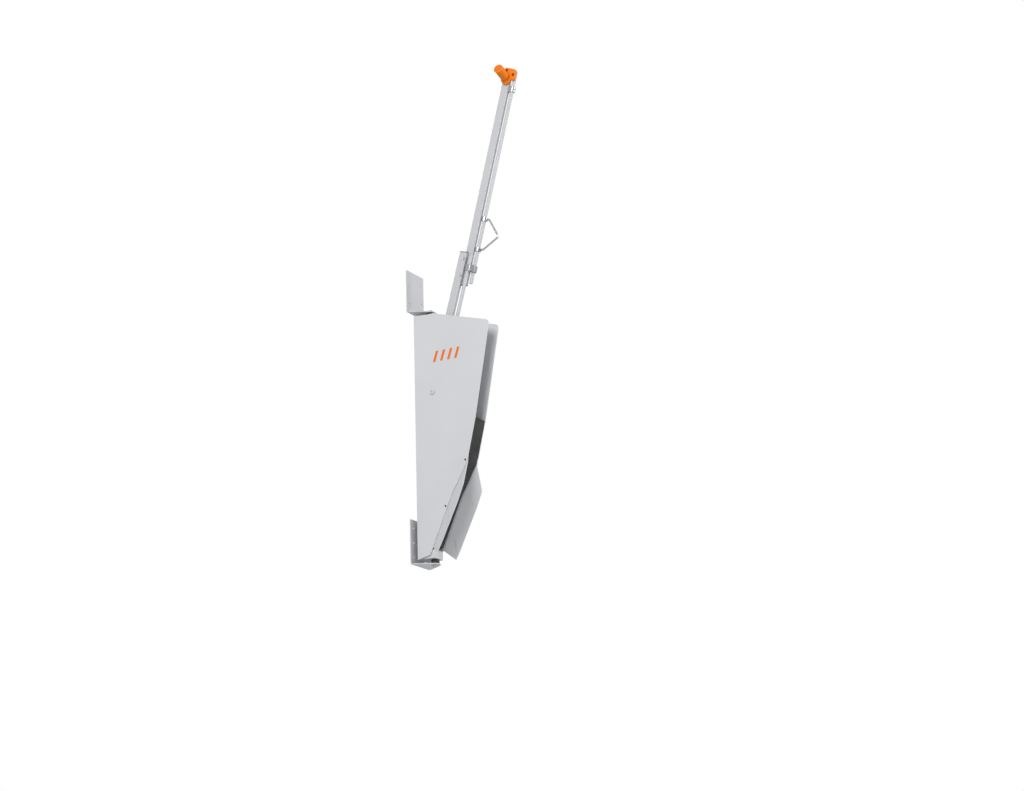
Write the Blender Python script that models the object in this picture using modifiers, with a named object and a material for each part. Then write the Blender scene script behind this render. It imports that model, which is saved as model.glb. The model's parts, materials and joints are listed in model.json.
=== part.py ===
"""Bicycle wall rack: a swivelling housing with a spring-assisted hook arm.

Frame: the wall is the plane X = 0, +X points out of the wall, +Z is up, and the origin
is the centre of the upper wall bracket's back face. Metres throughout.
"""
import math

import bmesh
import bpy
from mathutils import Matrix, Vector

GAP = 0.0003                      # between pieces that touch

# Wall brackets
PLATE_WIDTH = 0.095
PLATE_HEIGHT = 0.134
PLATE_THICK = 0.003
UPPER_PLATE_Z = 0.0
LOWER_PLATE_Z = -0.7615
UPPER_HOLES = ((-0.034, 0.020), (-0.034, -0.037), (0.034, 0.037), (0.034, -0.020))
LOWER_HOLES = ((-0.031, -0.043), (-0.031, 0.0), (-0.031, 0.043),
               (0.031, -0.043), (0.031, 0.0), (0.031, 0.043))
FLANGE_REACH = 0.069
FLANGE_TIP_RADIUS = 0.013
FLANGE_SHOULDER = 0.012
WALL_HOLE_RADIUS = 0.0032

# Swivel
SWIVEL_X = 0.055
SWIVEL_PIN_RADIUS = 0.005
SWIVEL_HEAD_RADIUS = 0.009
SWIVEL_HEAD_HEIGHT = 0.006

# Housing
HALF_WIDTH = 0.030
COVER_THICK = 0.0025
BACK_X = 0.014
TOP_Z = -0.076
BOTTOM_Z = -0.814
COVER_CORNERS = (
    (BACK_X, BOTTOM_Z, 0.002),
    (0.056, -0.8035, 0.004),
    (0.131, -0.637, 0.030),
    (0.185, -0.5445, 0.040),
    (0.216, -0.4185, 0.050),
    (0.270, -0.134, 0.014),
    (0.088, TOP_Z - 0.0055, 0.060),
    (BACK_X, TOP_Z, 0.002),
)
FRONT_EDGE = ((0.216, -0.4185), (0.185, -0.5445), (0.131, -0.637), (0.056, -0.8035))
INNER_HALF = HALF_WIDTH - COVER_THICK - GAP
PAD_HALF = 0.0248
PAD_THICK = 0.005
WEB_THICK = 0.0025
PAD_TOP_Z = -0.4190
PAD_SPLIT_Z = -0.5265
PAD_END_Z = -0.776
BLOCK_TOP_Z = -0.787

# Wheel guides
GUIDE_THICK = 0.0018
GUIDE_Y = 0.0262
GUIDE_MOUTH_Y = 0.054
GUIDE_START_Z = -0.5465
GUIDE_END_Z = -0.783
GUIDE_STRIP = 0.016
GUIDE_LEAD = 0.0015
GUIDE_SCREWS = ((0.179, -0.5408), (0.1105, -0.6678))
GUIDE_SCREW_RADIUS = 0.0015

# Arm
PIVOT = Vector((0.0735, 0.0, -0.3205))
ARM_LEAN = math.radians(16.2)
ARM_TRAVEL = math.radians(95)
BAR_WIDTH = 0.026
BAR_DEPTH = 0.011
BAR_WALL = 0.002
LOWER_BAR_ACROSS = -0.0121
LOWER_BAR_Y = -0.0113
LOWER_BAR_START = 0.030
LOWER_BAR_END = 0.430
UPPER_TURN = math.radians(-0.93)
UPPER_TURN_PLACE = 0.455
UPPER_SHIFT = 0.0012
UPPER_BAR_START = 0.335
UPPER_BAR_END = 0.998
HUB_RADIUS = 0.019
HUB_HALF = 0.020
SHAFT_RADIUS = 0.006
BUSH_RADIUS = 0.0085
BUSH_FLANGE_RADIUS = 0.012
ROD_RADIUS = 0.0055
LOWER_ROD_ACROSS = 0.015
LOWER_ROD_Y = -0.013
LOWER_ROD_START = 0.055
LOWER_ROD_END = 0.425
UPPER_ROD_ACROSS = 0.0245
UPPER_ROD_START = 0.340
UPPER_ROD_END = 1.000
LOWER_CLAMP_PLACE = 0.085
UPPER_CLAMP_PLACE = 0.945
CLAMP_LENGTH = 0.018
SPLICE_PLACES = (0.360, 0.410)
SPLICE_ACROSS = -0.0049
SPLICE_BOLT_RADIUS = 0.0025
COUPLER_PLACE = 0.385
COUPLER_LENGTH = 0.020

# Hook
HEAD_THICK = 0.008
PEG_PLACE = 0.977
PEG_RISE = math.radians(13)
PEG_RADIUS = 0.007
ROLLER_RADIUS = 0.0145
ROLLER_START = 0.007
ROLLER_END = 0.051

# Pull handle
HANDLE_FEET = (0.4455, 0.5390)
HANDLE_APEX = 0.4890
HANDLE_REACH = 0.085
HANDLE_WIRE = 0.0028

# Cam and spring
CAM_THICK = 0.010
CAM_START_RADIUS = 0.055
CARRIAGE_TRAVEL = 0.050
CAM_RISE = CARRIAGE_TRAVEL / ARM_TRAVEL
CAM_ROLLER_RADIUS = 0.011
CAM_ROLLER_WIDTH = 0.014
CARRIAGE_DEPTH = 0.028
CARRIAGE_HEIGHT = 0.040
CARRIAGE_HALF = 0.0262
CARRIAGE_SLOT = 0.017
GAS_ROD_RADIUS = 0.005
GAS_BODY_RADIUS = 0.0135
GAS_BODY_TOP = -0.487
GAS_BODY_BOTTOM = -0.700
SPRING_BASE_HEIGHT = 0.012
RAIL_INNER = 0.0212

SIDES = (("left", -1), ("right", 1))

PAINT = (0.66, 0.67, 0.69)
ZINC = (0.60, 0.61, 0.63)
ORANGE = (0.95, 0.26, 0.01)
DARK = (0.03, 0.03, 0.032)
STEEL = (0.55, 0.56, 0.58)

ARM_FRAME = Matrix.Translation(PIVOT) @ Matrix.Rotation(ARM_LEAN, 4, 'Y')
UPPER_FRAME = (ARM_FRAME @ Matrix.Translation((UPPER_SHIFT, 0.0, UPPER_TURN_PLACE))
               @ Matrix.Rotation(UPPER_TURN, 4, 'Y') @ Matrix.Translation((0.0, 0.0, -UPPER_TURN_PLACE)))
CARRIAGE_Z = PIVOT.z - CAM_START_RADIUS


def clear_scene():
    for item in list(bpy.data.objects):
        bpy.data.objects.remove(item, do_unlink=True)


def new_collection(name):
    collection = bpy.data.collections.new(name)
    bpy.context.scene.collection.children.link(collection)
    return collection


def make_material(name, colour, roughness, metallic):
    material = bpy.data.materials.new(name)
    material.use_nodes = True
    shader = material.node_tree.nodes["Principled BSDF"]
    shader.inputs["Base Color"].default_value = (*colour, 1.0)
    shader.inputs["Roughness"].default_value = roughness
    shader.inputs["Metallic"].default_value = metallic
    return material


def joint_empty(name, place, parent=None):
    """An empty on a joint's axis, which the pieces of the moving body are parented to."""
    empty = bpy.data.objects.new(name, None)
    empty.empty_display_size = 0.02
    PARTS.objects.link(empty)
    hang_on(empty, parent)
    empty.matrix_world = Matrix.Translation(place)
    bpy.context.view_layer.update()
    return empty


def hang_on(obj, parent):
    """Parent an object without moving it."""
    if parent is not None:
        obj.parent = parent
        obj.matrix_parent_inverse = parent.matrix_world.inverted()


def finish_object(obj, colour, roughness=0.45, metallic=0.0, joint=None):
    """Give a sub-part its material, its collection, its smooth shading and its joint's empty."""
    for collection in list(obj.users_collection):
        collection.objects.unlink(obj)
    PARTS.objects.link(obj)
    obj.data.materials.clear()
    obj.data.materials.append(make_material(obj.name + "_finish", colour, roughness, metallic))
    obj.data.shade_smooth()
    obj.data.set_sharp_from_angle(angle=math.radians(35))
    hang_on(obj, JOINTS.get(joint))


def link_temporary(obj):
    bpy.context.scene.collection.objects.link(obj)
    return obj


def mesh_object(name, mesh_data, matrix=None):
    obj = link_temporary(bpy.data.objects.new(name, mesh_data))
    if matrix is not None:
        obj.data.transform(matrix)
    return obj


def box(name, low, high, matrix=None, bevel=0.0):
    """A box between two corners, its edges rounded by a Bevel modifier."""
    size = Vector(high) - Vector(low)
    middle = (Vector(high) + Vector(low)) / 2
    mesh = bpy.data.meshes.new(name)
    shape = bmesh.new()
    bmesh.ops.create_cube(shape, size=1.0)
    bmesh.ops.scale(shape, vec=size, verts=shape.verts)
    bmesh.ops.translate(shape, vec=middle, verts=shape.verts)
    shape.to_mesh(mesh)
    shape.free()
    obj = mesh_object(name, mesh, matrix)
    if bevel > 0:
        add_bevel(obj, bevel)
    return obj


def add_bevel(obj, width, segments=2, angle=50):
    bevel = obj.modifiers.new("rounded edges", 'BEVEL')
    bevel.width = width
    bevel.segments = segments
    bevel.limit_method = 'ANGLE'
    bevel.angle_limit = math.radians(angle)


def cylinder(name, radius, start, end, segments=20):
    """A round bar from start to end."""
    start = Vector(start)
    end = Vector(end)
    along = end - start
    mesh = bpy.data.meshes.new(name)
    shape = bmesh.new()
    bmesh.ops.create_cone(shape, cap_ends=True, segments=segments, radius1=radius, radius2=radius,
                          depth=along.length)
    shape.to_mesh(mesh)
    shape.free()
    turn = along.to_track_quat('Z', 'Y').to_matrix().to_4x4()
    return mesh_object(name, mesh, Matrix.Translation((start + end) / 2) @ turn)


def turned(name, profile, base, direction, steps=24):
    """A solid of revolution: profile pairs (radius, height) run down the outer side."""
    mesh = bpy.data.meshes.new(name)
    shape = bmesh.new()
    points = [shape.verts.new((radius, 0.0, height)) for radius, height in profile]
    for first, second in zip(points, points[1:]):
        shape.edges.new((first, second))
    if profile[0][0] > 0:
        shape.edges.new((points[-1], points[0]))
    shape.to_mesh(mesh)
    shape.free()
    turn = Vector(direction).to_track_quat('Z', 'Y').to_matrix().to_4x4()
    obj = mesh_object(name, mesh)
    obj.matrix_world = Matrix.Translation(base) @ turn
    screw = obj.modifiers.new("turned", 'SCREW')
    screw.steps = steps
    screw.render_steps = steps
    screw.use_merge_vertices = True
    screw.merge_threshold = 0.00005
    return obj


def corner_arc(before, corner, after, radius, steps):
    """Points of the arc that rounds one corner of an outline."""
    towards_before = (before - corner).normalized()
    towards_after = (after - corner).normalized()
    half = towards_before.angle(towards_after) / 2
    reach = radius / math.tan(half)
    centre = corner + (towards_before + towards_after).normalized() * radius / math.sin(half)
    first = corner + towards_before * reach - centre
    last = corner + towards_after * reach - centre
    sweep = first.angle_signed(last)
    arc = []
    for step in range(steps + 1):
        turn = Matrix.Rotation(-sweep * step / steps, 2)
        arc.append(centre + turn @ first)
    return arc


def rounded_outline(corners, steps=4):
    """An outline from corners (x, y, radius)."""
    outline = []
    count = len(corners)
    for index, (x, y, radius) in enumerate(corners):
        corner = Vector((x, y))
        before = Vector(corners[index - 1][:2])
        after = Vector(corners[(index + 1) % count][:2])
        if radius > 0:
            outline.extend(corner_arc(before, corner, after, radius, steps))
        else:
            outline.append(corner)
    return outline


def plate(name, outline, thickness, matrix):
    """A flat plate: the outline filled in the matrix's local XY plane, centred on it."""
    curve = bpy.data.curves.new(name + "_outline", 'CURVE')
    curve.dimensions = '2D'
    curve.fill_mode = 'BOTH'
    curve.extrude = thickness / 2
    spline = curve.splines.new('POLY')
    spline.points.add(len(outline) - 1)
    for point, (x, y) in zip(spline.points, outline):
        point.co = (x, y, 0.0, 1.0)
    spline.use_cyclic_u = True
    return curve_to_mesh(name, curve, matrix)


def curve_to_mesh(name, curve, matrix=None):
    """Turn a curve into a closed mesh with its caps welded."""
    guide = link_temporary(bpy.data.objects.new(name + "_guide", curve))
    graph = bpy.context.evaluated_depsgraph_get()
    mesh = bpy.data.meshes.new_from_object(guide.evaluated_get(graph))
    mesh.name = name
    bpy.data.objects.remove(guide, do_unlink=True)
    shape = bmesh.new()
    shape.from_mesh(mesh)
    bmesh.ops.remove_doubles(shape, verts=shape.verts, dist=0.00001)
    shape.to_mesh(mesh)
    shape.free()
    return mesh_object(name, mesh, matrix)


def side_plate(name, outline, low_y, high_y, frame=None):
    """A plate whose outline lies in the X-Z plane, between two Y values."""
    upright = Matrix.Rotation(math.radians(90), 4, 'X')
    place = Matrix.Translation((0.0, (low_y + high_y) / 2, 0.0)) @ upright
    if frame is not None:
        place = frame @ place
    return plate(name, outline, high_y - low_y, place)


def wire(name, points, radius, matrix):
    curve = bpy.data.curves.new(name + "_path", 'CURVE')
    curve.dimensions = '3D'
    curve.bevel_depth = radius
    curve.bevel_resolution = 2
    curve.use_fill_caps = True
    spline = curve.splines.new('POLY')
    spline.points.add(len(points) - 1)
    for point, place in zip(spline.points, points):
        point.co = (*place, 1.0)
    return curve_to_mesh(name, curve, matrix)


def combine(target, tool, operation):
    """Cut or join with an exact boolean; the tool goes to the cutters' collection."""
    for collection in list(tool.users_collection):
        collection.objects.unlink(tool)
    CUTTERS.objects.link(tool)
    tool.hide_render = True
    tool.display_type = 'WIRE'
    modifier = target.modifiers.new(operation.lower(), 'BOOLEAN')
    modifier.operation = operation
    modifier.solver = 'EXACT'
    modifier.object = tool


def cut_hole(target, radius, start, end, segments=16):
    combine(target, cylinder(target.name + "_hole", radius, start, end, segments), 'DIFFERENCE')


def front_x(height, shift=0.0):
    """The covers' front edge at a height, moved along X by shift."""
    for (x_high, z_high), (x_low, z_low) in zip(FRONT_EDGE, FRONT_EDGE[1:]):
        if z_low <= height <= z_high:
            share = (height - z_low) / (z_high - z_low)
            return x_low + share * (x_high - x_low) + shift
    return FRONT_EDGE[-1][0] + shift


def front_strip(top, bottom, outer, thickness):
    """Outline of a strip that follows the front edge, between two depths behind it."""
    heights = [top]
    heights += [z for _, z in FRONT_EDGE[1:-1] if bottom < z < top]
    heights.append(bottom)
    front = [(front_x(z, -outer), z) for z in heights]
    back = [(front_x(z, -outer - thickness), z) for z in reversed(heights)]
    return front + back


# Wall brackets and swivel

def wall_bracket(name, middle_z, holes):
    """An L-shaped bracket: a drilled plate on the wall, and a tapered flange at its lower end."""
    half = PLATE_WIDTH / 2
    low = middle_z - PLATE_HEIGHT / 2
    bracket = box(name, (0.0, -half, low), (PLATE_THICK, half, low + PLATE_HEIGHT))
    tip = FLANGE_TIP_RADIUS
    tip_half = 0.011
    outline = rounded_outline((
        (0.001, -half, 0.0),
        (FLANGE_SHOULDER, -half, 0.006),
        (FLANGE_REACH, -tip_half, tip),
        (FLANGE_REACH, tip_half, tip),
        (FLANGE_SHOULDER, half, 0.006),
        (0.001, half, 0.0),
    ))
    place = Matrix.Translation((0.0, 0.0, low + PLATE_THICK / 2))
    combine(bracket, plate(name + "_flange", outline, PLATE_THICK, place), 'UNION')
    for y, rise in holes:
        cut_hole(bracket, WALL_HOLE_RADIUS, (-0.01, y, middle_z + rise), (0.01, y, middle_z + rise))
    pin_hole = SWIVEL_PIN_RADIUS + GAP
    cut_hole(bracket, pin_hole, (SWIVEL_X, 0, low - 0.01), (SWIVEL_X, 0, low + 0.02))
    finish_object(bracket, ZINC, 0.4, 0.6)


def swivel_pin(name, face_z, sign, reach):
    """A pin from the flange's outer face into the housing: sign -1 points down."""
    head = SWIVEL_HEAD_RADIUS
    tall = SWIVEL_HEAD_HEIGHT
    profile = (
        (0.0, tall),
        (head * 0.55, tall * 0.92),
        (head * 0.9, tall * 0.6),
        (head, GAP),
        (SWIVEL_PIN_RADIUS, GAP),
        (SWIVEL_PIN_RADIUS, -reach),
        (0.0, -reach),
    )
    pin = turned(name, profile, (SWIVEL_X, 0.0, face_z), (0, 0, -sign), 20)
    finish_object(pin, STEEL, 0.3, 0.9)


def swivel_ring(name, outer, inner, low_z, high_z, colour, metallic=0.0):
    height = high_z - low_z
    profile = ((inner, height), (outer, height), (outer, 0.0), (inner, 0.0))
    obj = turned(name, profile, (SWIVEL_X, 0.0, low_z), (0, 0, 1), 20)
    finish_object(obj, colour, 0.4, metallic)


def build_swivel():
    pin_bore = SWIVEL_PIN_RADIUS + GAP
    upper_flange = UPPER_PLATE_Z - PLATE_HEIGHT / 2
    lower_flange = LOWER_PLATE_Z - PLATE_HEIGHT / 2
    swivel_pin("swivel_bolt_upper", upper_flange + PLATE_THICK, -1, 0.050)
    swivel_pin("swivel_bolt_lower", lower_flange, 1, 0.045)
    upper_washer = (TOP_Z - 0.0017, upper_flange - GAP)
    lower_washer = (lower_flange + PLATE_THICK + GAP, BOTTOM_Z + 0.0017)
    swivel_ring("swivel_washer_upper", 0.012, pin_bore, *upper_washer, DARK)
    swivel_ring("swivel_washer_lower", 0.012, pin_bore, *lower_washer, DARK)
    swivel_ring("swivel_collar_upper", 0.009, pin_bore, -0.1125, -0.1085 - GAP, STEEL, 0.9)
    swivel_ring("swivel_collar_lower", 0.009, pin_bore, BLOCK_TOP_Z + GAP, BLOCK_TOP_Z + 0.0045, STEEL, 0.9)


# Housing

def build_covers():
    outline = rounded_outline(COVER_CORNERS)
    inner = HALF_WIDTH - COVER_THICK
    for name, low, high in (("left_cover", -HALF_WIDTH, -inner), ("right_cover", inner, HALF_WIDTH)):
        cover = side_plate(name, outline, low, high)
        below = PIVOT + Vector((0, low - 0.01, 0))
        above = PIVOT + Vector((0, high + 0.01, 0))
        cut_hole(cover, SHAFT_RADIUS + GAP, below, above)
        for x, z in GUIDE_SCREWS:
            cut_hole(cover, GUIDE_SCREW_RADIUS + GAP, (x, low - 0.01, z), (x, high + 0.01, z), 10)
        finish_object(cover, PAINT, 0.4, 0.0, "housing")


def build_frame():
    back = box("back_plate", (BACK_X + 0.0005, -INNER_HALF, BOTTOM_Z + 0.002),
               (BACK_X + 0.003, INNER_HALF, TOP_Z - 0.002))
    finish_object(back, PAINT, 0.45, 0.0, "housing")
    front_of_back = BACK_X + 0.003 + GAP
    top = box("top_block", (front_of_back, -INNER_HALF, -0.1085), (0.088, INNER_HALF, TOP_Z - 0.002),
              bevel=0.0008)
    cut_hole(top, SWIVEL_PIN_RADIUS + GAP, (SWIVEL_X, 0, -0.15), (SWIVEL_X, 0, -0.05))
    finish_object(top, PAINT, 0.45, 0.0, "housing")
    bottom = box("bottom_block", (front_of_back, -PAD_HALF, BOTTOM_Z + 0.002),
                 (0.0665, PAD_HALF, BLOCK_TOP_Z), bevel=0.0008)
    cut_hole(bottom, SWIVEL_PIN_RADIUS + GAP, (SWIVEL_X, 0, -0.85), (SWIVEL_X, 0, -0.75))
    finish_object(bottom, PAINT, 0.45, 0.0, "housing")
    web_depth = 0.0005 + PAD_THICK + GAP
    web_outline = front_strip(PAD_TOP_Z - 0.0015, PAD_END_Z, web_depth, WEB_THICK)
    web = side_plate("front_web", web_outline, -PAD_HALF, PAD_HALF)
    finish_object(web, STEEL, 0.5, 0.6, "housing")
    pad_outline = front_strip(PAD_TOP_Z, PAD_SPLIT_Z, 0.0005, PAD_THICK)
    pad = side_plate("front_pad", pad_outline, -INNER_HALF, INNER_HALF)
    finish_object(pad, DARK, 0.8, 0.0, "housing")
    tread_outline = front_strip(PAD_SPLIT_Z - GAP, PAD_END_Z, 0.0005, PAD_THICK)
    tread = side_plate("wheel_pad", tread_outline, -PAD_HALF, PAD_HALF)
    finish_object(tread, DARK, 0.85, 0.0, "housing")


def guide_sheet(name, side):
    """One flared guide: a strip inside the cover and a flare that widens the mouth."""
    fold_heights = (GUIDE_START_Z, -0.637, GUIDE_END_Z)
    fold = [Vector((front_x(z, GUIDE_LEAD), side * GUIDE_Y, z)) for z in fold_heights]
    strip_top = Vector((front_x(-0.528, -0.001), side * GUIDE_Y, -0.528))
    strip = [strip_top - Vector((GUIDE_STRIP, 0, 0))]
    strip += [point - Vector((GUIDE_STRIP + GUIDE_LEAD, 0, 0)) for point in fold]
    mouth = [Vector((x, side * GUIDE_MOUTH_Y, z))
             for x, z in ((0.185, -0.618), (0.166, -0.6645), (0.109, -0.780), (0.093, -0.809))]
    mesh = bpy.data.meshes.new(name)
    shape = bmesh.new()
    fold_points = [shape.verts.new(point) for point in fold]
    strip_points = [shape.verts.new(point) for point in strip]
    top_point = shape.verts.new(strip_top)
    mouth_points = [shape.verts.new(point) for point in mouth]
    faces = [
        (strip_points[0], strip_points[1], fold_points[0], top_point),
        (strip_points[1], strip_points[2], fold_points[1], fold_points[0]),
        (strip_points[2], strip_points[3], fold_points[2], fold_points[1]),
        (fold_points[0], fold_points[1], mouth_points[0]),
        (fold_points[1], mouth_points[1], mouth_points[0]),
        (fold_points[1], fold_points[2], mouth_points[2], mouth_points[1]),
        (fold_points[2], mouth_points[3], mouth_points[2]),
    ]
    for corners in faces:
        shape.faces.new(corners)
    bmesh.ops.triangulate(shape, faces=shape.faces)
    shape.to_mesh(mesh)
    shape.free()
    guide = mesh_object(name, mesh)
    solidify = guide.modifiers.new("sheet", 'SOLIDIFY')
    solidify.thickness = GUIDE_THICK
    solidify.offset = 0.0
    solidify.use_even_offset = True
    for x, z in GUIDE_SCREWS:
        cut_hole(guide, GUIDE_SCREW_RADIUS + GAP, (x, side * 0.02, z), (x, side * 0.04, z), 10)
    finish_object(guide, PAINT, 0.4, 0.0, "housing")


def build_wheel_guides():
    guide_sheet("left_wheel_guide", -1)
    guide_sheet("right_wheel_guide", 1)
    radius = GUIDE_SCREW_RADIUS
    profile = (
        (0.0, 0.0018),
        (radius * 1.5, 0.0014),
        (radius * 1.9, GAP),
        (radius, GAP),
        (radius, -0.0050),
        (0.0, -0.0050),
    )
    for side_name, side in SIDES:
        for place_name, (x, z) in zip(("upper", "lower"), GUIDE_SCREWS):
            name = f"{side_name}_guide_screw_{place_name}"
            screw = turned(name, profile, (x, side * HALF_WIDTH, z), (0, side, 0), 10)
            finish_object(screw, DARK, 0.35, 0.6, "housing")


def build_stops():
    lean_cos = math.cos(ARM_LEAN)
    height = -0.098
    radius = 0.008
    clear = BAR_WIDTH / 2 - LOWER_BAR_ACROSS + radius + 0.0006
    tip_x = PIVOT.x + (math.sin(ARM_LEAN) * (height - PIVOT.z) - clear) / lean_cos
    base_x = 0.088 + GAP
    profile = [(0.0, tip_x - base_x + radius)]
    for step in range(1, 5):
        angle = math.radians(90 - 22.5 * step)
        profile.append((radius * math.cos(angle), tip_x - base_x + radius * math.sin(angle)))
    profile += [(radius, 0.0), (0.0, 0.0)]
    stop = turned("up_stop", profile, (base_x, LOWER_BAR_Y, height), (1, 0, 0), 16)
    finish_object(stop, DARK, 0.85, 0.0, "housing")
    down = box("down_stop", (BACK_X + 0.003 + GAP, -0.009, -0.3085), (0.050, 0.009, -0.290), bevel=0.001)
    finish_object(down, DARK, 0.85, 0.0, "housing")


# Arm

def arm_box(name, low, high, bevel=0.0):
    """A box in arm coordinates: X across (towards the front), Y lateral, Z along the arm."""
    return box(name, low, high, ARM_FRAME, bevel)


def arm_cylinder(name, radius, start, end, segments=20):
    return cylinder(name, radius, ARM_FRAME @ Vector(start), ARM_FRAME @ Vector(end), segments)


def build_pivot():
    outer = HALF_WIDTH + GAP
    head = (
        (0.0, 0.0055),
        (0.0045, 0.0051),
        (0.0075, 0.0034),
        (0.0085, 0.0012),
        (0.0085, 0.0),
        (SHAFT_RADIUS, 0.0),
        (SHAFT_RADIUS, -2 * outer - 0.0065),
        (0.0, -2 * outer - 0.0065),
    )
    bolt = turned("pivot_bolt", head, PIVOT + Vector((0, -outer, 0)), (0, -1, 0), 24)
    finish_object(bolt, PAINT, 0.3, 0.3, "housing")
    nut_ends = [PIVOT + Vector((0, y, 0)) for y in (outer, outer + 0.006)]
    nut = cylinder("pivot_nut", 0.0095, *nut_ends, 6)
    cut_hole(nut, SHAFT_RADIUS + GAP, PIVOT + Vector((0, 0.02, 0)), PIVOT + Vector((0, 0.05, 0)), 24)
    finish_object(nut, STEEL, 0.3, 0.9, "housing")
    flange = INNER_HALF - HUB_HALF - 2 * GAP
    depth = HUB_HALF * 0.8
    bush = (
        (SHAFT_RADIUS + GAP, flange),
        (BUSH_FLANGE_RADIUS, flange),
        (BUSH_FLANGE_RADIUS, 0.0),
        (BUSH_RADIUS, 0.0),
        (BUSH_RADIUS, -depth),
        (SHAFT_RADIUS + GAP, -depth),
    )
    for side_name, side in SIDES:
        base = PIVOT + Vector((0, side * (HUB_HALF + GAP), 0))
        obj = turned(side_name + "_pivot_bush", bush, base, (0, side, 0), 20)
        finish_object(obj, DARK, 0.5, 0.0, "arm")


def build_hub():
    reach = Vector((0, HUB_HALF, 0))
    hub = cylinder("arm_hub", HUB_RADIUS, PIVOT - reach, PIVOT + reach, 28)
    across = BAR_WIDTH / 2 - BAR_WALL - GAP
    deep = BAR_DEPTH / 2 - BAR_WALL - GAP
    spigot = arm_box("hub_spigot", (LOWER_BAR_ACROSS - across, LOWER_BAR_Y - deep, 0.004),
                     (LOWER_BAR_ACROSS + across, LOWER_BAR_Y + deep, 0.100))
    combine(hub, spigot, 'UNION')
    cut_hole(hub, BUSH_RADIUS + GAP, PIVOT - Vector((0, 0.05, 0)), PIVOT + Vector((0, 0.05, 0)), 20)
    finish_object(hub, STEEL, 0.45, 0.8, "arm")


def build_cam():
    """A cam whose follower moves in proportion to the arm's turn."""
    low_angle = math.radians(-12)
    high_angle = ARM_TRAVEL + math.radians(12)
    steps = 20
    outline = []
    for step in range(steps + 1):
        angle = low_angle + (high_angle - low_angle) * step / steps
        radius = CAM_START_RADIUS + CAM_RISE * angle
        centre = Vector((radius * math.sin(angle), -radius * math.cos(angle)))
        along = Vector((CAM_RISE * math.sin(angle) + radius * math.cos(angle),
                        -CAM_RISE * math.cos(angle) + radius * math.sin(angle))).normalized()
        normal = Vector((along.y, -along.x))
        outline.append(centre - normal * (CAM_ROLLER_RADIUS + GAP))
    inner = HUB_RADIUS + GAP
    for step in range(11):
        angle = high_angle + (low_angle - high_angle) * step / 10
        outline.append(Vector((inner * math.sin(angle), -inner * math.cos(angle))) * 1.008)
    frame = Matrix.Translation(PIVOT)
    cam = side_plate("lift_cam", outline, -CAM_THICK / 2, CAM_THICK / 2, frame)
    finish_object(cam, STEEL, 0.35, 0.9, "arm")


def arm_tube(name, frame, across, y, start, end):
    """A rectangular tube along the arm."""
    wide = BAR_WIDTH / 2
    deep = BAR_DEPTH / 2
    tube = box(name, (across - wide, y - deep, start), (across + wide, y + deep, end), frame, 0.0025)
    wide -= BAR_WALL
    deep -= BAR_WALL
    low = (across - wide, y - deep, start - 0.02)
    inside = box(name + "_hollow", low, (across + wide, y + deep, end + 0.02), frame)
    combine(tube, inside, 'DIFFERENCE')
    return tube


def rod_bore(target, frame, across, y, middle):
    reach = 0.03
    tool = cylinder("rod_bore", ROD_RADIUS + GAP, frame @ Vector((across, y, middle - reach)),
                    frame @ Vector((across, y, middle + reach)), 24)
    combine(target, tool, 'DIFFERENCE')


def build_bars():
    lower = arm_tube("lower_arm_bar", ARM_FRAME, LOWER_BAR_ACROSS, LOWER_BAR_Y,
                     LOWER_BAR_START, LOWER_BAR_END)
    upper = arm_tube("upper_arm_bar", UPPER_FRAME, 0.0, 0.0, UPPER_BAR_START, UPPER_BAR_END)
    for bar in (lower, upper):
        for place in SPLICE_PLACES:
            start = ARM_FRAME @ Vector((SPLICE_ACROSS, -0.03, place))
            end = ARM_FRAME @ Vector((SPLICE_ACROSS, 0.03, place))
            cut_hole(bar, SPLICE_BOLT_RADIUS + GAP, start, end, 20)
        finish_object(bar, PAINT, 0.4, 0.0, "arm")
    rods = (
        ("lower_brace_rod", ARM_FRAME, LOWER_ROD_ACROSS, LOWER_ROD_Y, LOWER_ROD_START, LOWER_ROD_END),
        ("upper_brace_rod", UPPER_FRAME, UPPER_ROD_ACROSS, 0.0, UPPER_ROD_START, UPPER_ROD_END),
    )
    for name, frame, across, y, start, end in rods:
        ends = [frame @ Vector((across, y, place)) for place in (start, end)]
        rod = cylinder(name, ROD_RADIUS, *ends, 24)
        finish_object(rod, PAINT, 0.35, 0.0, "arm")


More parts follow.
